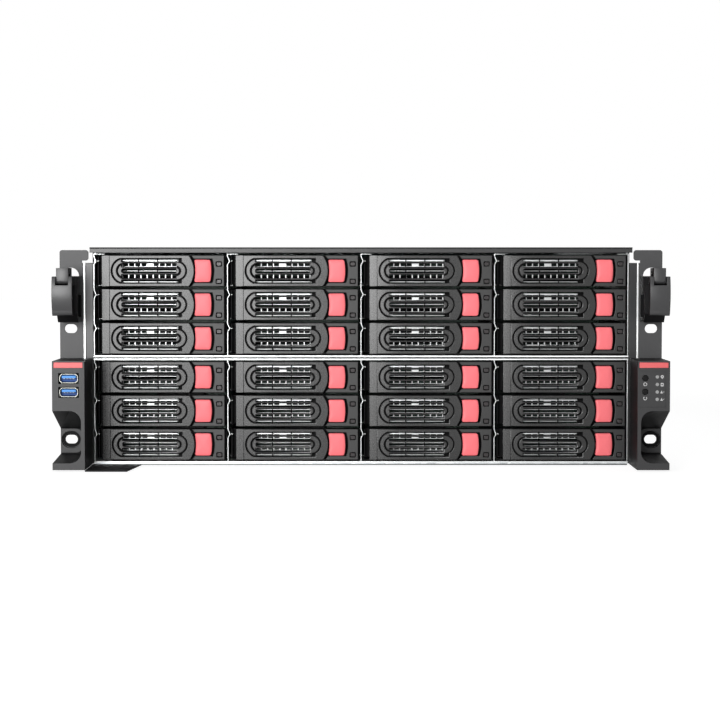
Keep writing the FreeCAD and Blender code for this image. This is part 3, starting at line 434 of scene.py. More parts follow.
# Tray faces: the fixed right-hand end of each tray, with the button's pocket and two lamp windows.
# Moulded from grey-black ABS, with smoked acrylic light pipes pushed into the windows from behind.
FACE_FRONT, FACE_RIGHT, FACE_CORNER, FACE_SEAT = -3.5, 51.05, 24.95, 0.1
POCKET_LEFT, POCKET_RIGHT, POCKET_HALF, POCKET_BOW = 27.05, 41.6, 9.6, 1.5
LAMP_X, LAMP_HEIGHTS = 46.9, (5.5, -8.4)
LAMP_WIDTH, LAMP_HEIGHT, LAMP_GAP, LAMP_CORNER, LAMP_SINK = 4.7, 3.9, 0.5, 0.8, 0.2
SOFT_EDGE, PIPE_EDGE = 0.35, 0.25
POCKET_STEPS = 5


def arc(middle, radius, start, end, steps=12):
    """Points on an arc, with the angles in degrees."""
    turns = [radians(start + (end - start) * step / steps) for step in range(steps + 1)]
    return [(middle[0] + radius * cos(turn), middle[1] + radius * sin(turn)) for turn in turns]


def soft_box(left, right, low, high, radius, steps=4):
    """Outline of a rectangle with round corners."""
    corners = ((right - radius, low + radius, -90), (right - radius, high - radius, 0),
               (left + radius, high - radius, 90), (left + radius, low + radius, 180))
    return [point for x, z, start in corners for point in arc((x, z), radius, start, start + 90, steps)]


def lamp_loop(height, gap):
    """Outline of a lamp window, or of the light pipe inside it."""
    across, up = LAMP_WIDTH / 2 - gap, LAMP_HEIGHT / 2 - gap
    return soft_box(LAMP_X - across, LAMP_X + across, height - up, height + up, LAMP_CORNER)


half, tall = BEZEL_HALF, POCKET_HALF
shares = [step / POCKET_STEPS for step in range(POCKET_STEPS, -POCKET_STEPS - 1, -1)]
pocket_side = [(POCKET_RIGHT + POCKET_BOW * (1 - share ** 2), tall * share) for share in shares]
face_loop = [(FACE_CORNER, half), (POCKET_LEFT, tall), *pocket_side,
             (POCKET_LEFT, -tall), (FACE_CORNER, -half), (FACE_RIGHT, -half), (FACE_RIGHT, half)]
windows = [lamp_loop(height, 0) for height in LAMP_HEIGHTS]
face_mesh = joined("tray_face", [
    plate([face_loop, *windows], FACE_FRONT, FRAME_FRONT + FACE_SEAT, SOFT_EDGE),
])
pipe_mesh = joined("tray_light_pipes", [
    plate([lamp_loop(height, LAMP_GAP)], FACE_FRONT + LAMP_SINK, FRAME_FRONT, PIPE_EDGE)
    for height in LAMP_HEIGHTS
])
# Grey-black ABS: a mid-dark satin face, a shade lighter than the lever beside it.
face_abs = moulded_plastic("grey_black_abs", "202020", "282828", 0.4, shine=0.37)
FRONT_FACING = -0.6


def satin_front_shaded_walls(mesh, satin):
    """Gives a moulding a satin front and paints its side walls in the near-black matt ABS as painted shade,
    which keeps its grooves and hollows dark.
    """
    for material in (satin, black_abs_and_shade):
        mesh.materials.append(material)
    for face in mesh.polygons:
        face.material_index = int(face.normal.y > FRONT_FACING)


satin_front_shaded_walls(face_mesh, face_abs)
# Smoked acrylic: nearly black and smoother than the face, so the unlit lamps are faint squares.
lamp_acrylic = moulded_plastic("smoked_acrylic", "2c2829", "343031", 0.25, 0.02, shine=0.3)
for key, spot in trays.items():
    body = "tray_" + key
    piece_from(face_mesh, "tray_face_" + key, face_abs, body, "tray_plastic", body, location=spot)
    piece_from(pipe_mesh, "tray_light_pipes_" + key, lamp_acrylic, body, "tray_plastic", body, location=spot)


# Screens behind the grilles, which keep stray fields in and let the air through.
# Punched from zinc-coated sheet with square holes.
# A bright strip and a lower strip are folded forward to the lever; the lower one is painted mid-grey as
# shade.
SCREEN_LEFT, SCREEN_RIGHT, SCREEN_LOW, SCREEN_HIGH = -37.8, 18.5, -9.4, 8.8
SCREEN_FRONT, SCREEN_BACK, SCREEN_SHEET = 13.2, 13.7, 0.5
HOLE_START, HOLE_PITCH, HOLE_WEB, HOLES = -36.9, 4.95, 0.75, 11
HOLE_BANDS = {"upper": (3.6, 7.4), "lower": (-5.9, -2.75)}
CLOSED_HOLES = {"upper": (5,), "lower": ()}
LONG_HOLES = ((0.0, 3.2), (-2.45, -0.4), (-8.6, -6.2))
STRIP_LEFT, STRIP_RIGHT, STRIP_FRONT = -32.0, 13.4, 2.0
BRIGHT_STRIP, SHADED_STRIP = (7.8, 8.6), (-9.2, -8.5)
SPRING, SPRING_FRONT, SPRING_BACK = (-50.9, -49.7, 7.65, 8.0), 3.0, 8.0
CHEEK_FRONT, SCREEN_EDGE = 7.0, 0.08
loops = [box_loop(SCREEN_LEFT, SCREEN_RIGHT, SCREEN_LOW, SCREEN_HIGH)]
for band, heights in HOLE_BANDS.items():
    for number in range(HOLES):
        left = HOLE_START + HOLE_PITCH * number + HOLE_WEB / 2
        if number not in CLOSED_HOLES[band]:
            loops.append(box_loop(left, left + HOLE_PITCH - HOLE_WEB, *heights))
loops += [box_loop(HOLE_START, HOLE_START + HOLE_PITCH * HOLES, *heights) for heights in LONG_HOLES]
screen_parts = [
    plate(loops, SCREEN_FRONT, SCREEN_BACK, SCREEN_EDGE),
    plate([box_loop(*SPRING)], SPRING_FRONT, SPRING_BACK, SHEET_EDGE),
    plate([box_loop(STRIP_LEFT, STRIP_RIGHT, *BRIGHT_STRIP)], STRIP_FRONT, SCREEN_FRONT, SHEET_EDGE),
]
for left in (SCREEN_LEFT - SCREEN_SHEET, SCREEN_RIGHT):
    screen_parts.append(plate([box_loop(left, left + SCREEN_SHEET, SCREEN_LOW, SCREEN_HIGH)],
                              CHEEK_FRONT, SCREEN_BACK, SCREEN_EDGE))
screen_mesh = joined("tray_screen", screen_parts)
shaded_strip_mesh = joined("tray_screen_shaded_strip", [
    plate([box_loop(STRIP_LEFT, STRIP_RIGHT, *SHADED_STRIP)], STRIP_FRONT, SCREEN_FRONT, SHEET_EDGE),
])
# Zinc coat painted mid-grey as shade on the lower strip: metal that mirrors less than the bright sheet.
shade_painted_zinc = zinc_sheet("zinc_sheet_painted_shade", "8c8e8e", "9a9c9c")
for key, spot in trays.items():
    body = "tray_" + key
    piece_from(screen_mesh, "tray_screen_" + key, cut_zinc, body, "plated_steel", body, location=spot)
    piece_from(shaded_strip_mesh, "tray_screen_shaded_strip_" + key, shade_painted_zinc, body, "plated_steel", body, location=spot)


# Pull levers: hinged at the left end on a pin, with a grille of stadium-shaped bars.
# Moulded from satin black ABS; grooves and slots come from the mould, and the hinge end curves gently back.
LEVER_LEFT, LEVER_CORNER, LEVER_RADIUS = -46.6, 22.95, 20.3
LEVER_FRONT, LEVER_WEB, LEVER_BACK = -4.5, -0.7, 0.0
PAD_RIGHT, PAD_GAP, WEB_EDGE = -40.6, 0.1, 0.1
BEND_START, BEND, BEND_STEP = -20.0, 0.0021, 2.0
LEFT_MIDDLE, RIGHT_MIDDLE, CORE_MIDDLE = (-28.7, 0.0), (13.4, 0.0), (12.75, 0.0)
OUTER_SLOT, INNER_SLOT, MIDDLE_SLOT = (7.3, 10.0), (3.1, 5.8), 1.7
FACE_RING, FACE_ROUND = 10.6, 8.0
OUTER_RING, OUTER_ROUND = 9.75, 7.2
INNER_GROOVE, CORE_GROOVE = 6.2, 3.7
CORE_RING, CORE_ROUND = 5.3, 2.8
RING_EDGE, GROOVE_TURN = 0.6, 80
NOTCH = (13.0, 17.2)
SLOT_LEFT, SLOT_RIGHT = -30.7, 12.8
RIBS, RIB_HALF = (-17.6, -2.4), 0.45


def at_height(radius, height):
    """Angle at which a circle reaches a height, in degrees."""
    return degrees(asin(height / radius))


def ring_loop(ring, straight, round_middle, round_end):
    """Outline of a ring: a wide arc on the left, straight bars, a smaller arc on the right."""
    turn = 180 - at_height(ring, sqrt(ring ** 2 - (SLOT_LEFT - LEFT_MIDDLE[0]) ** 2))
    return (arc(LEFT_MIDDLE, ring, turn, 360 - turn, 20) + [(SLOT_LEFT, -straight)]
            + arc(round_middle, round_end, -90, 90, 16) + [(SLOT_LEFT, straight)])


def bend_back(mesh):
    """Curves the hinge end of the lever back, in steps that its flat faces can follow."""
    steps = int((BEND_START - LEVER_LEFT) / BEND_STEP)
    for step in range(steps):
        bmesh.ops.bisect_plane(mesh, geom=mesh.verts[:] + mesh.edges[:] + mesh.faces[:],
                               plane_co=(BEND_START - step * BEND_STEP, 0, 0), plane_no=(1, 0, 0))
    for point in mesh.verts:
        point.co.y += BEND * max(0, BEND_START - point.co.x) ** 2


# Face round the grille, from the finger pad to the round end
sweep = at_height(LEVER_RADIUS, BEZEL_HALF)
round_x = LEVER_CORNER - LEVER_RADIUS * cos(radians(sweep))
round_end = arc((round_x, 0), LEVER_RADIUS, -sweep, sweep, 16)
face_loop = [(PAD_RIGHT, BEZEL_HALF), (PAD_RIGHT, -BEZEL_HALF), *round_end]
high = OUTER_SLOT[1]
turn = 180 - at_height(FACE_RING, high)
corner = at_height(FACE_ROUND, sqrt(FACE_ROUND ** 2 - (NOTCH[1] - RIGHT_MIDDLE[0]) ** 2))
opening = (arc(LEFT_MIDDLE, FACE_RING, turn, 360 - turn, 20) + [(NOTCH[1], -high)]
           + arc(RIGHT_MIDDLE, FACE_ROUND, -corner, corner, 16) + [(NOTCH[1], high)])
pad_loop = box_loop(LEVER_LEFT, PAD_RIGHT - PAD_GAP, -BEZEL_HALF, BEZEL_HALF)
layers = [plate([face_loop, opening], LEVER_FRONT, LEVER_WEB, SOFT_EDGE),
          plate([pad_loop], LEVER_FRONT, LEVER_WEB, PAD_GAP)]

# Outer ring, whose straight runs are the bars between the slots
low = INNER_SLOT[1]
groove = (arc(LEFT_MIDDLE, INNER_GROOVE, 90, 270, 16) + [(SLOT_RIGHT, -low), (SLOT_RIGHT, -CORE_GROOVE)]
          + arc(CORE_MIDDLE, CORE_GROOVE, -GROOVE_TURN, GROOVE_TURN, 12)
          + [(SLOT_RIGHT, CORE_GROOVE), (SLOT_RIGHT, low)])
layers.append(plate([ring_loop(OUTER_RING, OUTER_SLOT[0], RIGHT_MIDDLE, OUTER_ROUND), groove],
                    LEVER_FRONT, LEVER_WEB, RING_EDGE))

# Inner ring round the middle slot
slot_end = arc((SLOT_LEFT + MIDDLE_SLOT, 0), MIDDLE_SLOT, 90, 270, 8)
middle_slot = slot_end + [(SLOT_RIGHT, -MIDDLE_SLOT), (SLOT_RIGHT, MIDDLE_SLOT)]
layers.append(plate([ring_loop(CORE_RING, INNER_SLOT[0], CORE_MIDDLE, CORE_ROUND), middle_slot],
                    LEVER_FRONT, LEVER_WEB, RING_EDGE))

# Web behind the grooves, open at the slots and notches, with two thin ribs across them
edges = [SLOT_LEFT, *RIBS, SLOT_RIGHT]
spans = [(edges[n] + RIB_HALF * (n > 0), edges[n + 1] - RIB_HALF * (n < 2)) for n in range(3)]
bands = [(-MIDDLE_SLOT, MIDDLE_SLOT)]
for low, high in (OUTER_SLOT, INNER_SLOT):
    bands += [(low, high), (-high, -low)]
openings = [box_loop(*span, *band) for band in bands for span in spans]
openings += [box_loop(*NOTCH, *band) for band in bands if OUTER_SLOT[1] in (band[1], -band[0])]
lever_loop = [(LEVER_LEFT, BEZEL_HALF), (LEVER_LEFT, -BEZEL_HALF), *round_end]
web = plate([lever_loop, *openings], LEVER_WEB, LEVER_BACK, WEB_EDGE)
web_mesh = joined("lever_web", [web], bend_back)
lever_mesh = joined("pull_lever", layers, bend_back)

# Satin ABS: darker than the tray face, with broad soft lights along the rings.
lever_abs = moulded_plastic("satin_black_abs", "141414", "1a1a1a", 0.28, shine=0.46)
satin_front_shaded_walls(lever_mesh, lever_abs)
for key, spot in trays.items():
    own = "tray_lever_" + key
    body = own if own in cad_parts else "tray_" + key
    piece_from(lever_mesh, "pull_lever_" + key, lever_abs, body, "tray_plastic", body, location=spot)
    # The web behind the grooves takes the near-black matt ABS, as painted shade at the floors of the grooves
    # and slots.
    piece_from(web_mesh, "lever_web_" + key, black_abs_and_shade, body, "tray_plastic", body, location=spot)


# Release buttons: pressed to let the lever spring out, each in its pocket beside the lever's round end.
# Moulded from red ABS, polished, with a gently crowned face and one hollow and one full side.
BUTTON_LEFT, BUTTON_RIGHT, BUTTON_HALF = 27.05, 39.45, 8.95
BUTTON_FRONT, BUTTON_BACK = -5.0, 1.0
BUTTON_CORNER, BUTTON_BOW, BUTTON_STEP = 1.5, 0.9, 1.2
LEFT_ROOM, RIGHT_REACH = 0.2, 0.6
CROWN = ((0.0, BUTTON_BACK), (0.0, -3.7), (0.12, -4.2), (0.4, -4.45), (1.2, -4.7), (3.2, -4.92))

button_loop = []
straight = soft_box(BUTTON_LEFT + LEFT_ROOM, BUTTON_RIGHT + RIGHT_REACH, -BUTTON_HALF, BUTTON_HALF,
                    BUTTON_CORNER, 5)
for start, end in zip(straight, straight[1:] + straight[:1]):
    steps = max(1, int(abs(end[1] - start[1]) / BUTTON_STEP))
    for n in range(steps):
        x, z = (start[axis] + (end[axis] - start[axis]) * n / steps for axis in (0, 1))
        button_loop.append(Vector((x + BUTTON_BOW * (1 - (z / BUTTON_HALF) ** 2), z)))
middle = Vector(((BUTTON_LEFT + BUTTON_RIGHT) / 2 + BUTTON_BOW, 0))
mesh = bmesh.new()
rows = []
for inset, depth in CROWN:
    row = [middle + (point - middle) * max(0, 1 - inset / (point - middle).length) for point in button_loop]
    rows.append([mesh.verts.new(Vector((x, depth, z)) / 1000) for x, z in row])
for near, far in zip(rows, rows[1:]):
    for n in range(len(near)):
        mesh.faces.new((near[n - 1], near[n], far[n], far[n - 1]))
mesh.faces.new(rows[0])
tip = mesh.verts.new(Vector((middle.x, BUTTON_FRONT, 0)) / 1000)
for n in range(len(rows[-1])):
    mesh.faces.new((rows[-1][n - 1], rows[-1][n], tip))
for face in mesh.faces:
    face.smooth = True
button_mesh = mesh_data("release_button", mesh)

# Red ABS: a light, slightly milky red, with one soft light on the crown.
red_abs = moulded_plastic("polished_red_abs", "f06d73", "f57a80", 0.4, 0.03, shine=0.22)
for key, spot in trays.items():
    own = "tray_button_" + key
    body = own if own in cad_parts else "tray_" + key
    piece_from(button_mesh, "release_button_" + key, red_abs, body, "red_plastic", body, location=spot)


# Top covers: a fixed front cover with a folded lip, and a rear cover that slides off to the rear.
# Bent steel sheet with matt black powder coat; a satin strip is bonded to the front of the lip.
LIP_SHEET, LIP_DROP, LIP_HEIGHT, LIP_INSET, LIP_EDGE = 0.4, 1.0, 3.3, 0.2, 0.15
# Matt coat: nearly black, with hardly any shine.
matt_coat = powder_coat("matt_powder_coat", "161617", "1e1e1f", 0.55, 0.1)
for node, body in (("front_cover", "chassis"), ("top_cover", "top_cover")):
    sheet = rounded_copy(node, node + "_sheet", 0.35)
    piece_from(sheet, node + "_sheet", matt_coat, body, "black_painted_steel", node)
low, high = (corner * 1000 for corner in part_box("front_cover"))
lip_top = high.z - LIP_DROP
lip = plate([box_loop(low.x + LIP_INSET, high.x - LIP_INSET, lip_top - LIP_HEIGHT, lip_top)],
            -LIP_SHEET, 0, LIP_EDGE)
piece_from(joined("cover_lip_strip", [lip]), "cover_lip_strip", painted, "chassis", "black_painted_steel",
           "front_cover", location=(0, rack_front, 0))


# Rack ears: bent brackets screwed to the sides, with a bare side plate and a painted spacer bar behind.
# Thick steel sheet with black powder coat; the side plate is bright zinc-coated sheet with bare edges.
# Fine coat: dark grey and even, the lightest of the painted pieces.
ear_coat = powder_coat("fine_powder_coat", "363637", "3f3f40", 0.48, 0.38)
for side in ("left", "right"):
    ear = rounded_copy(f"{side}_rack_ear", f"{side}_ear", 0.3)
    piece_from(ear, f"{side}_ear", ear_coat, "chassis", "black_painted_steel", f"{side}_rack_ear")


PLATE_LIMIT = 0.002


def is_side_plate(points):
    """Whether a piece is one of the thin plates; the bars are thicker."""
    return width_along(points, 0) < PLATE_LIMIT


def is_spacer_bar(points):
    return not is_side_plate(points)


for name, rounding, test, material, slot in (
    ("bare_side_plates", 0.1, is_side_plate, bright_zinc, "galvanised_steel"),
    ("spacer_bars", 0.4, is_spacer_bar, painted, "black_painted_steel"),
):
    sheet = rounded_copy("side_plates", name, rounding, test)
    piece_from(sheet, name, material, "chassis", slot, "side_plates")


# Rack latches: a base screwed to each ear, a strap over the top, and a flip lever on a pin.
# Moulded from black nylon; strap and lever are satin, and the base behind them is drawn matt and near-black
# as painted shade.
STRAP_DEPTH = 5.0
# Textured nylon: dark grey satin with soft lights on the bowed lever.
latch_nylon = moulded_plastic("textured_black_nylon", "303031", "3a3a3b", 0.36, shine=0.4)
base = rounded_copy("latch_bases", "latch_bases_moulded", 0.5)
satin_front_shaded_walls(base, latch_nylon)
strap_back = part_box("latch_bases")[0].y + STRAP_DEPTH / 1000
# Faces of the base deeper than the strap take the near-black matt ABS, as painted shade behind strap and
# lever.
for face in base.polygons:
    if face.center.y > strap_back:
        face.material_index = 1
piece_from(base, "latch_bases_moulded", latch_nylon, "chassis", "black_plastic", "latch_bases")
for side in ("left", "right"):
    node = f"{side}_latch_lever"
    flip = rounded_copy(node, f"{side}_flip_lever", 0.6, segments=3)
    satin_front_shaded_walls(flip, latch_nylon)
    piece_from(flip, f"{side}_flip_lever", latch_nylon, node, "black_plastic", node)


# Ear covers: hollow moulded covers over the lower ears, with a finger recess round the rack screw.
# Black ABS with a fine mould texture; a red strip is let in along the top of each.
# Textured ABS: dark grey, even and dull satin.
cover_abs = moulded_plastic("textured_black_abs", "272728", "2f2f30", 0.46, shine=0.34)
SCREW_X, SCREW_Z = 232.55, 21.2
SCREW_ROOM, RACK_SLOT, ROOM_GAP = (15.4, 13.8), (10.0, 7.1), 0.6
PAD_INNER, PAD_OUTER, PAD_LOW, PAD_HIGH, PAD_ROUND = 221.9, 240.6, 10.6, 30.0, 7.5
SCOOP_FLOOR, PAD_SKIN, PAD_EDGE = -3.0, 0.25, 0.1


def oblong(length, width, gap=0.0):
    """Outline of a slot with round ends at the rack screw."""
    radius, reach = width / 2 - gap, (length - width) / 2
    right = arc((SCREW_X + reach, SCREW_Z), radius, -90, 90)
    return right + arc((SCREW_X - reach, SCREW_Z), radius, 90, 270)


pad_loop = [(PAD_OUTER, PAD_LOW), (PAD_OUTER, PAD_HIGH),
            *arc((PAD_INNER + PAD_ROUND, PAD_HIGH - PAD_ROUND), PAD_ROUND, 90, 180),
            *arc((PAD_INNER + PAD_ROUND, PAD_LOW + PAD_ROUND), PAD_ROUND, 180, 270)]
for side, sign in (("left", -1), ("right", 1)):
    node = f"{side}_ear_cover"
    shell = rounded_copy(node, f"{side}_cover", 0.8, segments=3)
    satin_front_shaded_walls(shell, cover_abs)
    # Faces deeper than the screw pad take the near-black matt ABS, as painted shade in the finger recess.
    for face in shell.polygons:
        if face.center.y > rack_front + (SCOOP_FLOOR - PAD_SKIN) / 1000:
            face.material_index = 1
    piece_from(shell, f"{side}_cover", cover_abs, "chassis", "black_plastic", node)
    pad, room, floor, slot = ([(sign * x, z) for x, z in loop] for loop in (
        pad_loop, oblong(*SCREW_ROOM), oblong(*SCREW_ROOM, ROOM_GAP), oblong(*RACK_SLOT)))
    # The screw pad is the raised boss; the screw room is a thin near-black plate in the counterbore, painted
    # shade round the rack slot.
    for name, loops, front, back, material in (
        (f"{side}_screw_pad", [pad, room], SCOOP_FLOOR - PAD_SKIN, SCOOP_FLOOR + PAD_SKIN, cover_abs),
        (f"{side}_screw_room", [floor, slot], -2 * PAD_SKIN, -PAD_SKIN / 2, black_abs_and_shade),
    ):
        seat = joined(name, [plate(loops, front, back, PAD_EDGE)])
        piece_from(seat, name, material, "chassis", "black_plastic", node, location=(0, rack_front, 0))

# Red ABS strip: a deeper red than the buttons, flat and evenly lit.
strip_red = moulded_plastic("red_abs_strip", "d66062", "de6b6d", 0.4, 0.03, shine=0.25)
strips = rounded_copy("accent_strips", "red_strips", 0.3)
piece_from(strips, "red_strips", strip_red, "chassis", "red_plastic", "accent_strips")


# USB sockets in the left cover: two steel shells, each with a tongue and a block that holds its contacts.
# The shells are folded from nickel-plated strip on a small upright board; tongue and block are blue nylon.
cover_low, cover_high = (corner * 1000 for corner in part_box("left_ear_cover"))
USB_X = sum(corner.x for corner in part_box("usb_ports")) * 1000 / 2
USB_DROPS = (13.5, 24.3)
USB_FRONT = cover_low.y
TONGUE_HALF, TONGUE_LOW, TONGUE_HIGH, TONGUE_SINK = 5.5, 0.1, 2.1, 1.0
BLOCK_HALF, BLOCK_RISE, BLOCK_SINK, BLOCK_DEPTH = 6.4, 2.8, 5.0, 4.0
CONTACT_PLACES, CONTACT_PITCH, CONTACT_HALF = (-1.5, -0.5, 0.5, 1.5), 2.4, 0.5
CONTACT_LOW, CONTACT_HIGH, CONTACT_SINK = -0.5, 0.05, 2.0
SHELL_EDGE, NYLON_EDGE, CONTACT_EDGE = 0.12, 0.25, 0.1

# Nickel plate: smooth, slightly warm grey metal with soft mirror-like lights.
NICKEL_GRAIN = 0.8
nickel, tree, shader, place = finish("nickel_plated_strip", Metallic=1.0)
drawn = add_node(tree, "TexNoise", {"Scale": 1 / NICKEL_GRAIN, "Detail": 2.0}, ("Vector", place, "Vector"))
two_tone(tree, shader, "6e6e6a", "7e7e7a", drawn, "Fac")
gloss = add_node(tree, "MapRange", {"To Min": 0.18, "To Max": 0.3}, ("Value", drawn, "Fac"))
tree.links.new(gloss.outputs["Result"], shader.inputs["Roughness"])


TONGUE_LIMIT, SHELL_LIMIT = 0.003, 0.012


def is_socket_board(points):
    """Whether a piece is the board, which is taller than a shell."""
    return width_along(points, 2) > SHELL_LIMIT


def is_shell(points):
    """Whether a piece is a shell, which is taller than a tongue."""
    return TONGUE_LIMIT < width_along(points, 2) < SHELL_LIMIT


for name, material, slot, test in (
    ("usb_shells", nickel, "plated_steel", is_shell),
    ("usb_board", board_green, "circuit_board", is_socket_board),
):
    shell = rounded_copy("usb_ports", name, SHELL_EDGE, test)
    piece_from(shell, name, material, "chassis", slot, "usb_ports")

tongues, blocks, contacts = [], [], []
block_front = USB_FRONT + BLOCK_SINK
tongue_back = block_front + TONGUE_SINK
for drop in USB_DROPS:
    z = cover_high.z - drop
    left, right = USB_X - TONGUE_HALF, USB_X + TONGUE_HALF
    tongues.append(plate([box_loop(left, right, z + TONGUE_LOW, z + TONGUE_HIGH)],
                         USB_FRONT + TONGUE_SINK, tongue_back, NYLON_EDGE))
    blocks.append(plate([box_loop(USB_X - BLOCK_HALF, USB_X + BLOCK_HALF, z - BLOCK_RISE, z + BLOCK_RISE)],
                        block_front, block_front + BLOCK_DEPTH, NYLON_EDGE))
    for place in CONTACT_PLACES:
        x = USB_X + place * CONTACT_PITCH
        contact = box_loop(x - CONTACT_HALF, x + CONTACT_HALF, z + CONTACT_LOW, z + CONTACT_HIGH)
        contacts.append(plate([contact], USB_FRONT + CONTACT_SINK, tongue_back, CONTACT_EDGE))
# Light blue nylon: a clear, slightly glossy blue on the tongue.
tongue_blue = moulded_plastic("light_blue_nylon", "3c82cc", "478ed8", 0.4, 0.05, shine=0.3)
# Blue nylon: painted a darker blue behind the tongue as shade inside the shell, so that the tongue stands
# out.
shaded_block_blue = moulded_plastic("blue_nylon", "163c78", "1c4688", 0.45, 0.05, shine=0.2)
for name, parts, material, slot in (
    ("usb_tongues", tongues, tongue_blue, "black_plastic"),
    ("usb_blocks", blocks, shaded_block_blue, "black_plastic"),
    ("usb_contacts", contacts, nickel, "plated_steel"),
):
    piece_from(joined(name, parts), name, material, "chassis", slot, "usb_ports")


# Control panel in the right cover: power and reset buttons, four lamps and their printed signs.
# The buttons are black ABS, the lamps clear light pipes, the signs white ink.
# Gloss ABS: almost black caps with a small clear light.
cap_abs = moulded_plastic("gloss_black_abs", "080809", "0c0c0d", 0.3, 0.02, shine=0.15)
for name in ("power", "reset"):
    cap = rounded_copy(f"{name}_button", f"{name}_cap", 0.35, segments=3)
    piece_from(cap, f"{name}_cap", cap_abs, f"{name}_button", "black_plastic", f"{name}_button")

PANEL_SINK = 0.6
PANEL_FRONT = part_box("right_ear_cover")[0].y * 1000 + PANEL_SINK
LAMP_COLUMN, SIGN_COLUMN, PUSH_COLUMN = 230.9, 234.7, 221.5
PANEL_ROWS = (74.1, 68.2, 62.3, 56.6)
SIGN_HEIGHTS = (68.4, 57.4)
SIGN_OUTER, SIGN_INNER = 1.5, 1.0
LAMP_RADIUS, LAMP_STAND, LAMP_DEPTH, LAMP_EDGE = 1.35, 0.25, 1.0, 0.2
INK_STAND, INK_DEPTH, INK_EDGE = 0.06, 0.05, 0.02
DROP_RISE, DROP_RADIUS, DROP_HOLE, DROP_TIP = 0.2, 1.25, 0.5, -1.6
BOX_HALF, BOX_LOW, BOX_HIGH, BOX_CORNER, BOX_HOLE, HOLE_DROP = 1.2, -1.5, 1.2, 0.5, 0.6, 0.1
OPEN_START, OPEN_END = 125, 415
WARNING = ((-1.5, -1.1), (0.7, -1.1), (-0.4, 1.2))
FLASH = ((0.9, -0.6), (1.4, -0.3), (1.7, 0.7), (1.2, 0.4))


def disc(x, z, radius, steps=20):
    """Outline of a circle."""
    return arc((x, z), radius, 0, 360 - 360 / steps, steps - 1)


panel_lamps = joined("panel_lamps", [
    plate([disc(LAMP_COLUMN, z, LAMP_RADIUS)], PANEL_FRONT - LAMP_STAND, PANEL_FRONT + LAMP_DEPTH, LAMP_EDGE)
    for z in PANEL_ROWS
])
# Clear light pipe, unlit: a pale grey dot.
lamp_clear = moulded_plastic("clear_light_pipe", "8e8e8e", "9a9a9a", 0.25, 0.02)
piece_from(panel_lamps, "panel_lamps", lamp_clear, "chassis", "black_plastic")

depth = (PANEL_FRONT - INK_STAND, PANEL_FRONT + INK_DEPTH, INK_EDGE)
ring_z, turn_z = SIGN_HEIGHTS
first, second = PANEL_ROWS[:2]
open_ring = (arc((PUSH_COLUMN, turn_z), SIGN_OUTER, OPEN_START, OPEN_END, 16)
             + arc((PUSH_COLUMN, turn_z), SIGN_INNER, OPEN_END, OPEN_START, 16))
drop_middle = first + DROP_RISE
drop_sign = arc((SIGN_COLUMN, drop_middle), DROP_RADIUS, -30, 210, 14) + [(SIGN_COLUMN, first + DROP_TIP)]
box_sign = soft_box(SIGN_COLUMN - BOX_HALF, SIGN_COLUMN + BOX_HALF, second + BOX_LOW, second + BOX_HIGH,
                    BOX_CORNER)
signs = [
    plate([disc(PUSH_COLUMN, ring_z, SIGN_OUTER), disc(PUSH_COLUMN, ring_z, SIGN_INNER)], *depth),
    plate([open_ring], *depth),
    plate([drop_sign, disc(SIGN_COLUMN, drop_middle, DROP_HOLE, 10)], *depth),
    plate([box_sign, disc(SIGN_COLUMN, second - HOLE_DROP, BOX_HOLE, 10)], *depth),
]
for z in PANEL_ROWS[2:]:
    for sign in (WARNING, FLASH):
        signs.append(plate([[(SIGN_COLUMN + x, z + rise) for x, rise in sign]], *depth))

# Screen-printing ink: flat off-white with thinner patches.
INK_PATCH = 0.6
white_ink, tree, shader, place = finish("white_printing_ink", Roughness=0.6)
patchy = add_node(tree, "TexNoise", {"Scale": 1 / INK_PATCH, "Detail": 2.0}, ("Vector", place, "Vector"))
two_tone(tree, shader, "aeaeae", "bebebe", patchy, "Fac")
piece_from(joined("panel_signs", signs), "panel_signs", white_ink, "chassis", "black_plastic")


# Hem along the pan's front edge: the sheet is folded back on itself there, so that no sharp edge is left.
# Zinc-coated sheet, painted darker than the rest of the pan as the shadow under its front edge; it ends at
# the guard plate.
HEM_RIGHT, HEM_LOW, HEM_HIGH, HEM_SHEET, HEM_GAP = 214.0, 0.3, 1.4, 0.3, 0.5
hem_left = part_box("guard_plate")[1].x * 1000 + HEM_GAP
# Zinc coat painted dark grey as shadow: dark grey metal with weak reflections.
hem_shadow_zinc = zinc_sheet("zinc_sheet_painted_shadow", "5a5c5c", "686a6a")
hem_fold = plate([box_loop(hem_left, HEM_RIGHT, HEM_LOW, HEM_HIGH)], -HEM_SHEET, 0, SHEET_EDGE)
hem = joined("pan_front_hem", [hem_fold])
piece_from(hem, "pan_front_hem", hem_shadow_zinc, "chassis", "galvanised_steel", location=(0, rack_front, 0))


# Guard plate under the left front edge: a flat plate screwed to the pan's underside.
# Steel sheet with black powder coat.
guard = rounded_copy("guard_plate", "guard_sheet", 0.2)
piece_from(guard, "guard_sheet", matt_coat, "chassis", "black_painted_steel", "guard_plate")


# Studio: a pale floor, soft boxes left and right of the camera and above, a white surround, and the camera.
# Camera, mirror and glass rays see floor and surround as white; the floor keeps the object's shadow.
FLOOR, FLOOR_DROP = 6.0, 0.0005
floor_mesh = bpy.data.meshes.new("floor")
floor_mesh.from_pydata([(-FLOOR, -FLOOR, 0), (FLOOR, -FLOOR, 0), (FLOOR, FLOOR, 0), (-FLOOR, FLOOR, 0)], [],
                       [(0, 1, 2, 3)])
floor = bpy.data.objects.new("floor", floor_mesh)
floor.location.z = -FLOOR_DROP
bpy.context.scene.collection.objects.link(floor)


def seen_rays(tree):
    """1 for the rays that should meet a white background, else 0."""
    rays = add_node(tree, "LightPath", {})
    seen = add_node(tree, "Math", {"operation": "MAXIMUM"},
                    (0, rays, "Is Camera Ray"), (1, rays, "Is Glossy Ray"))
    return add_node(tree, "Math", {"operation": "MAXIMUM"},
                    (0, seen, "Value"), (1, rays, "Is Transmission Ray"))
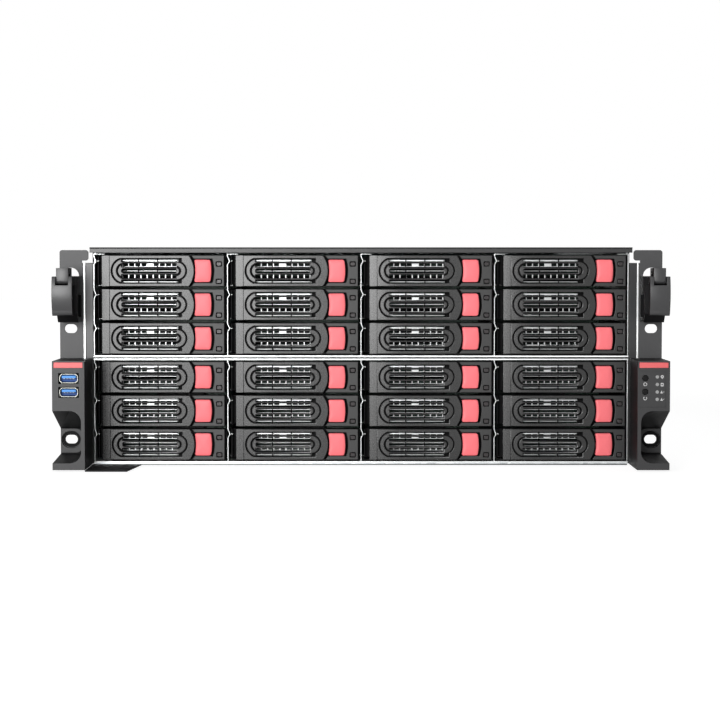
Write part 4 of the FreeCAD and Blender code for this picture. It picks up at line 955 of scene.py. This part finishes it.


# White studio paper: matt, with a slight shade under the object; its glow is painted lower near the object as
# shade and rises to full white further out.
paper = bpy.data.materials.new("white_studio_floor")
paper.use_nodes = True
tree = paper.node_tree
tree.nodes.clear()
matt = add_node(tree, "BsdfDiffuse", {"Color": srgb("f4f4f4")})
shade = add_node(tree, "BsdfDiffuse", {"Color": srgb("909090")})
where = add_node(tree, "TexCoord", {})
away = add_node(tree, "VectorMath", {"operation": "LENGTH"}, (0, where, "Object"))
painted_floor_glow = add_node(tree, "MapRange", {"From Min": 0.5, "From Max": 1.5, "To Min": 0.9, "To Max": 1.0},
                 ("Value", away, "Value"))
glow = add_node(tree, "Emission", {"Color": srgb("ffffff")}, ("Strength", painted_floor_glow, "Result"))
shown = add_node(tree, "AddShader", {}, (0, shade, "BSDF"), (1, glow, "Emission"))
mixed = add_node(tree, "MixShader", {}, (0, seen_rays(tree), "Value"), (1, matt, "BSDF"),
                 (2, shown, "Shader"))
add_node(tree, "OutputMaterial", {}, ("Surface", mixed, "Shader"))
floor_mesh.materials.append(paper)

world = bpy.data.worlds.new("white_surround")
bpy.context.scene.world = world
world.use_nodes = True
tree = world.node_tree
tree.nodes.clear()
fill = add_node(tree, "Background", {"Color": srgb("ffffff"), "Strength": 0.1})
white = add_node(tree, "Background", {"Color": srgb("ffffff"), "Strength": 1.0})
mixed = add_node(tree, "MixShader", {}, (0, seen_rays(tree), "Value"), (1, fill, "Background"),
                 (2, white, "Background"))
add_node(tree, "OutputWorld", {}, ("Surface", mixed, "Shader"))


def soft_box_lamp(name, place, target, width, height, power):
    """A soft box aimed at a point."""
    lamp = bpy.data.lights.new(name, "AREA")
    lamp.shape = "RECTANGLE"
    lamp.size, lamp.size_y = width, height
    lamp.energy = power
    holder = bpy.data.objects.new(name, lamp)
    holder.location = place
    holder.rotation_euler = (Vector(target) - Vector(place)).to_track_quat("-Z", "Y").to_euler()
    bpy.context.scene.collection.objects.link(holder)


FRONT_MIDDLE = (0, -0.3, 0.09)
soft_box_lamp("key_left", (-0.58, -1.9, 0.36), FRONT_MIDDLE, 0.93, 0.7, 31)
soft_box_lamp("fill_right", (1.7, -1.8, 0.7), FRONT_MIDDLE, 1.2, 1.2, 3)
soft_box_lamp("top", (0, 0.2, 2.2), (0, 0, 0.1), 1.8, 1.8, 10)

SENSOR, LENS = 36, 102.95
EYE, LOOK_DOWN = (-0.0008, -1.95075, 0.1662), 2.82
camera = bpy.data.cameras.new("camera")
camera.sensor_width = SENSOR
camera.lens = LENS
eye = bpy.data.objects.new("camera", camera)
eye.location = EYE
eye.rotation_euler = (radians(90 - LOOK_DOWN), 0, 0)
bpy.context.scene.collection.objects.link(eye)
bpy.context.scene.camera = eye
bpy.context.scene.view_settings.view_transform = "Standard"
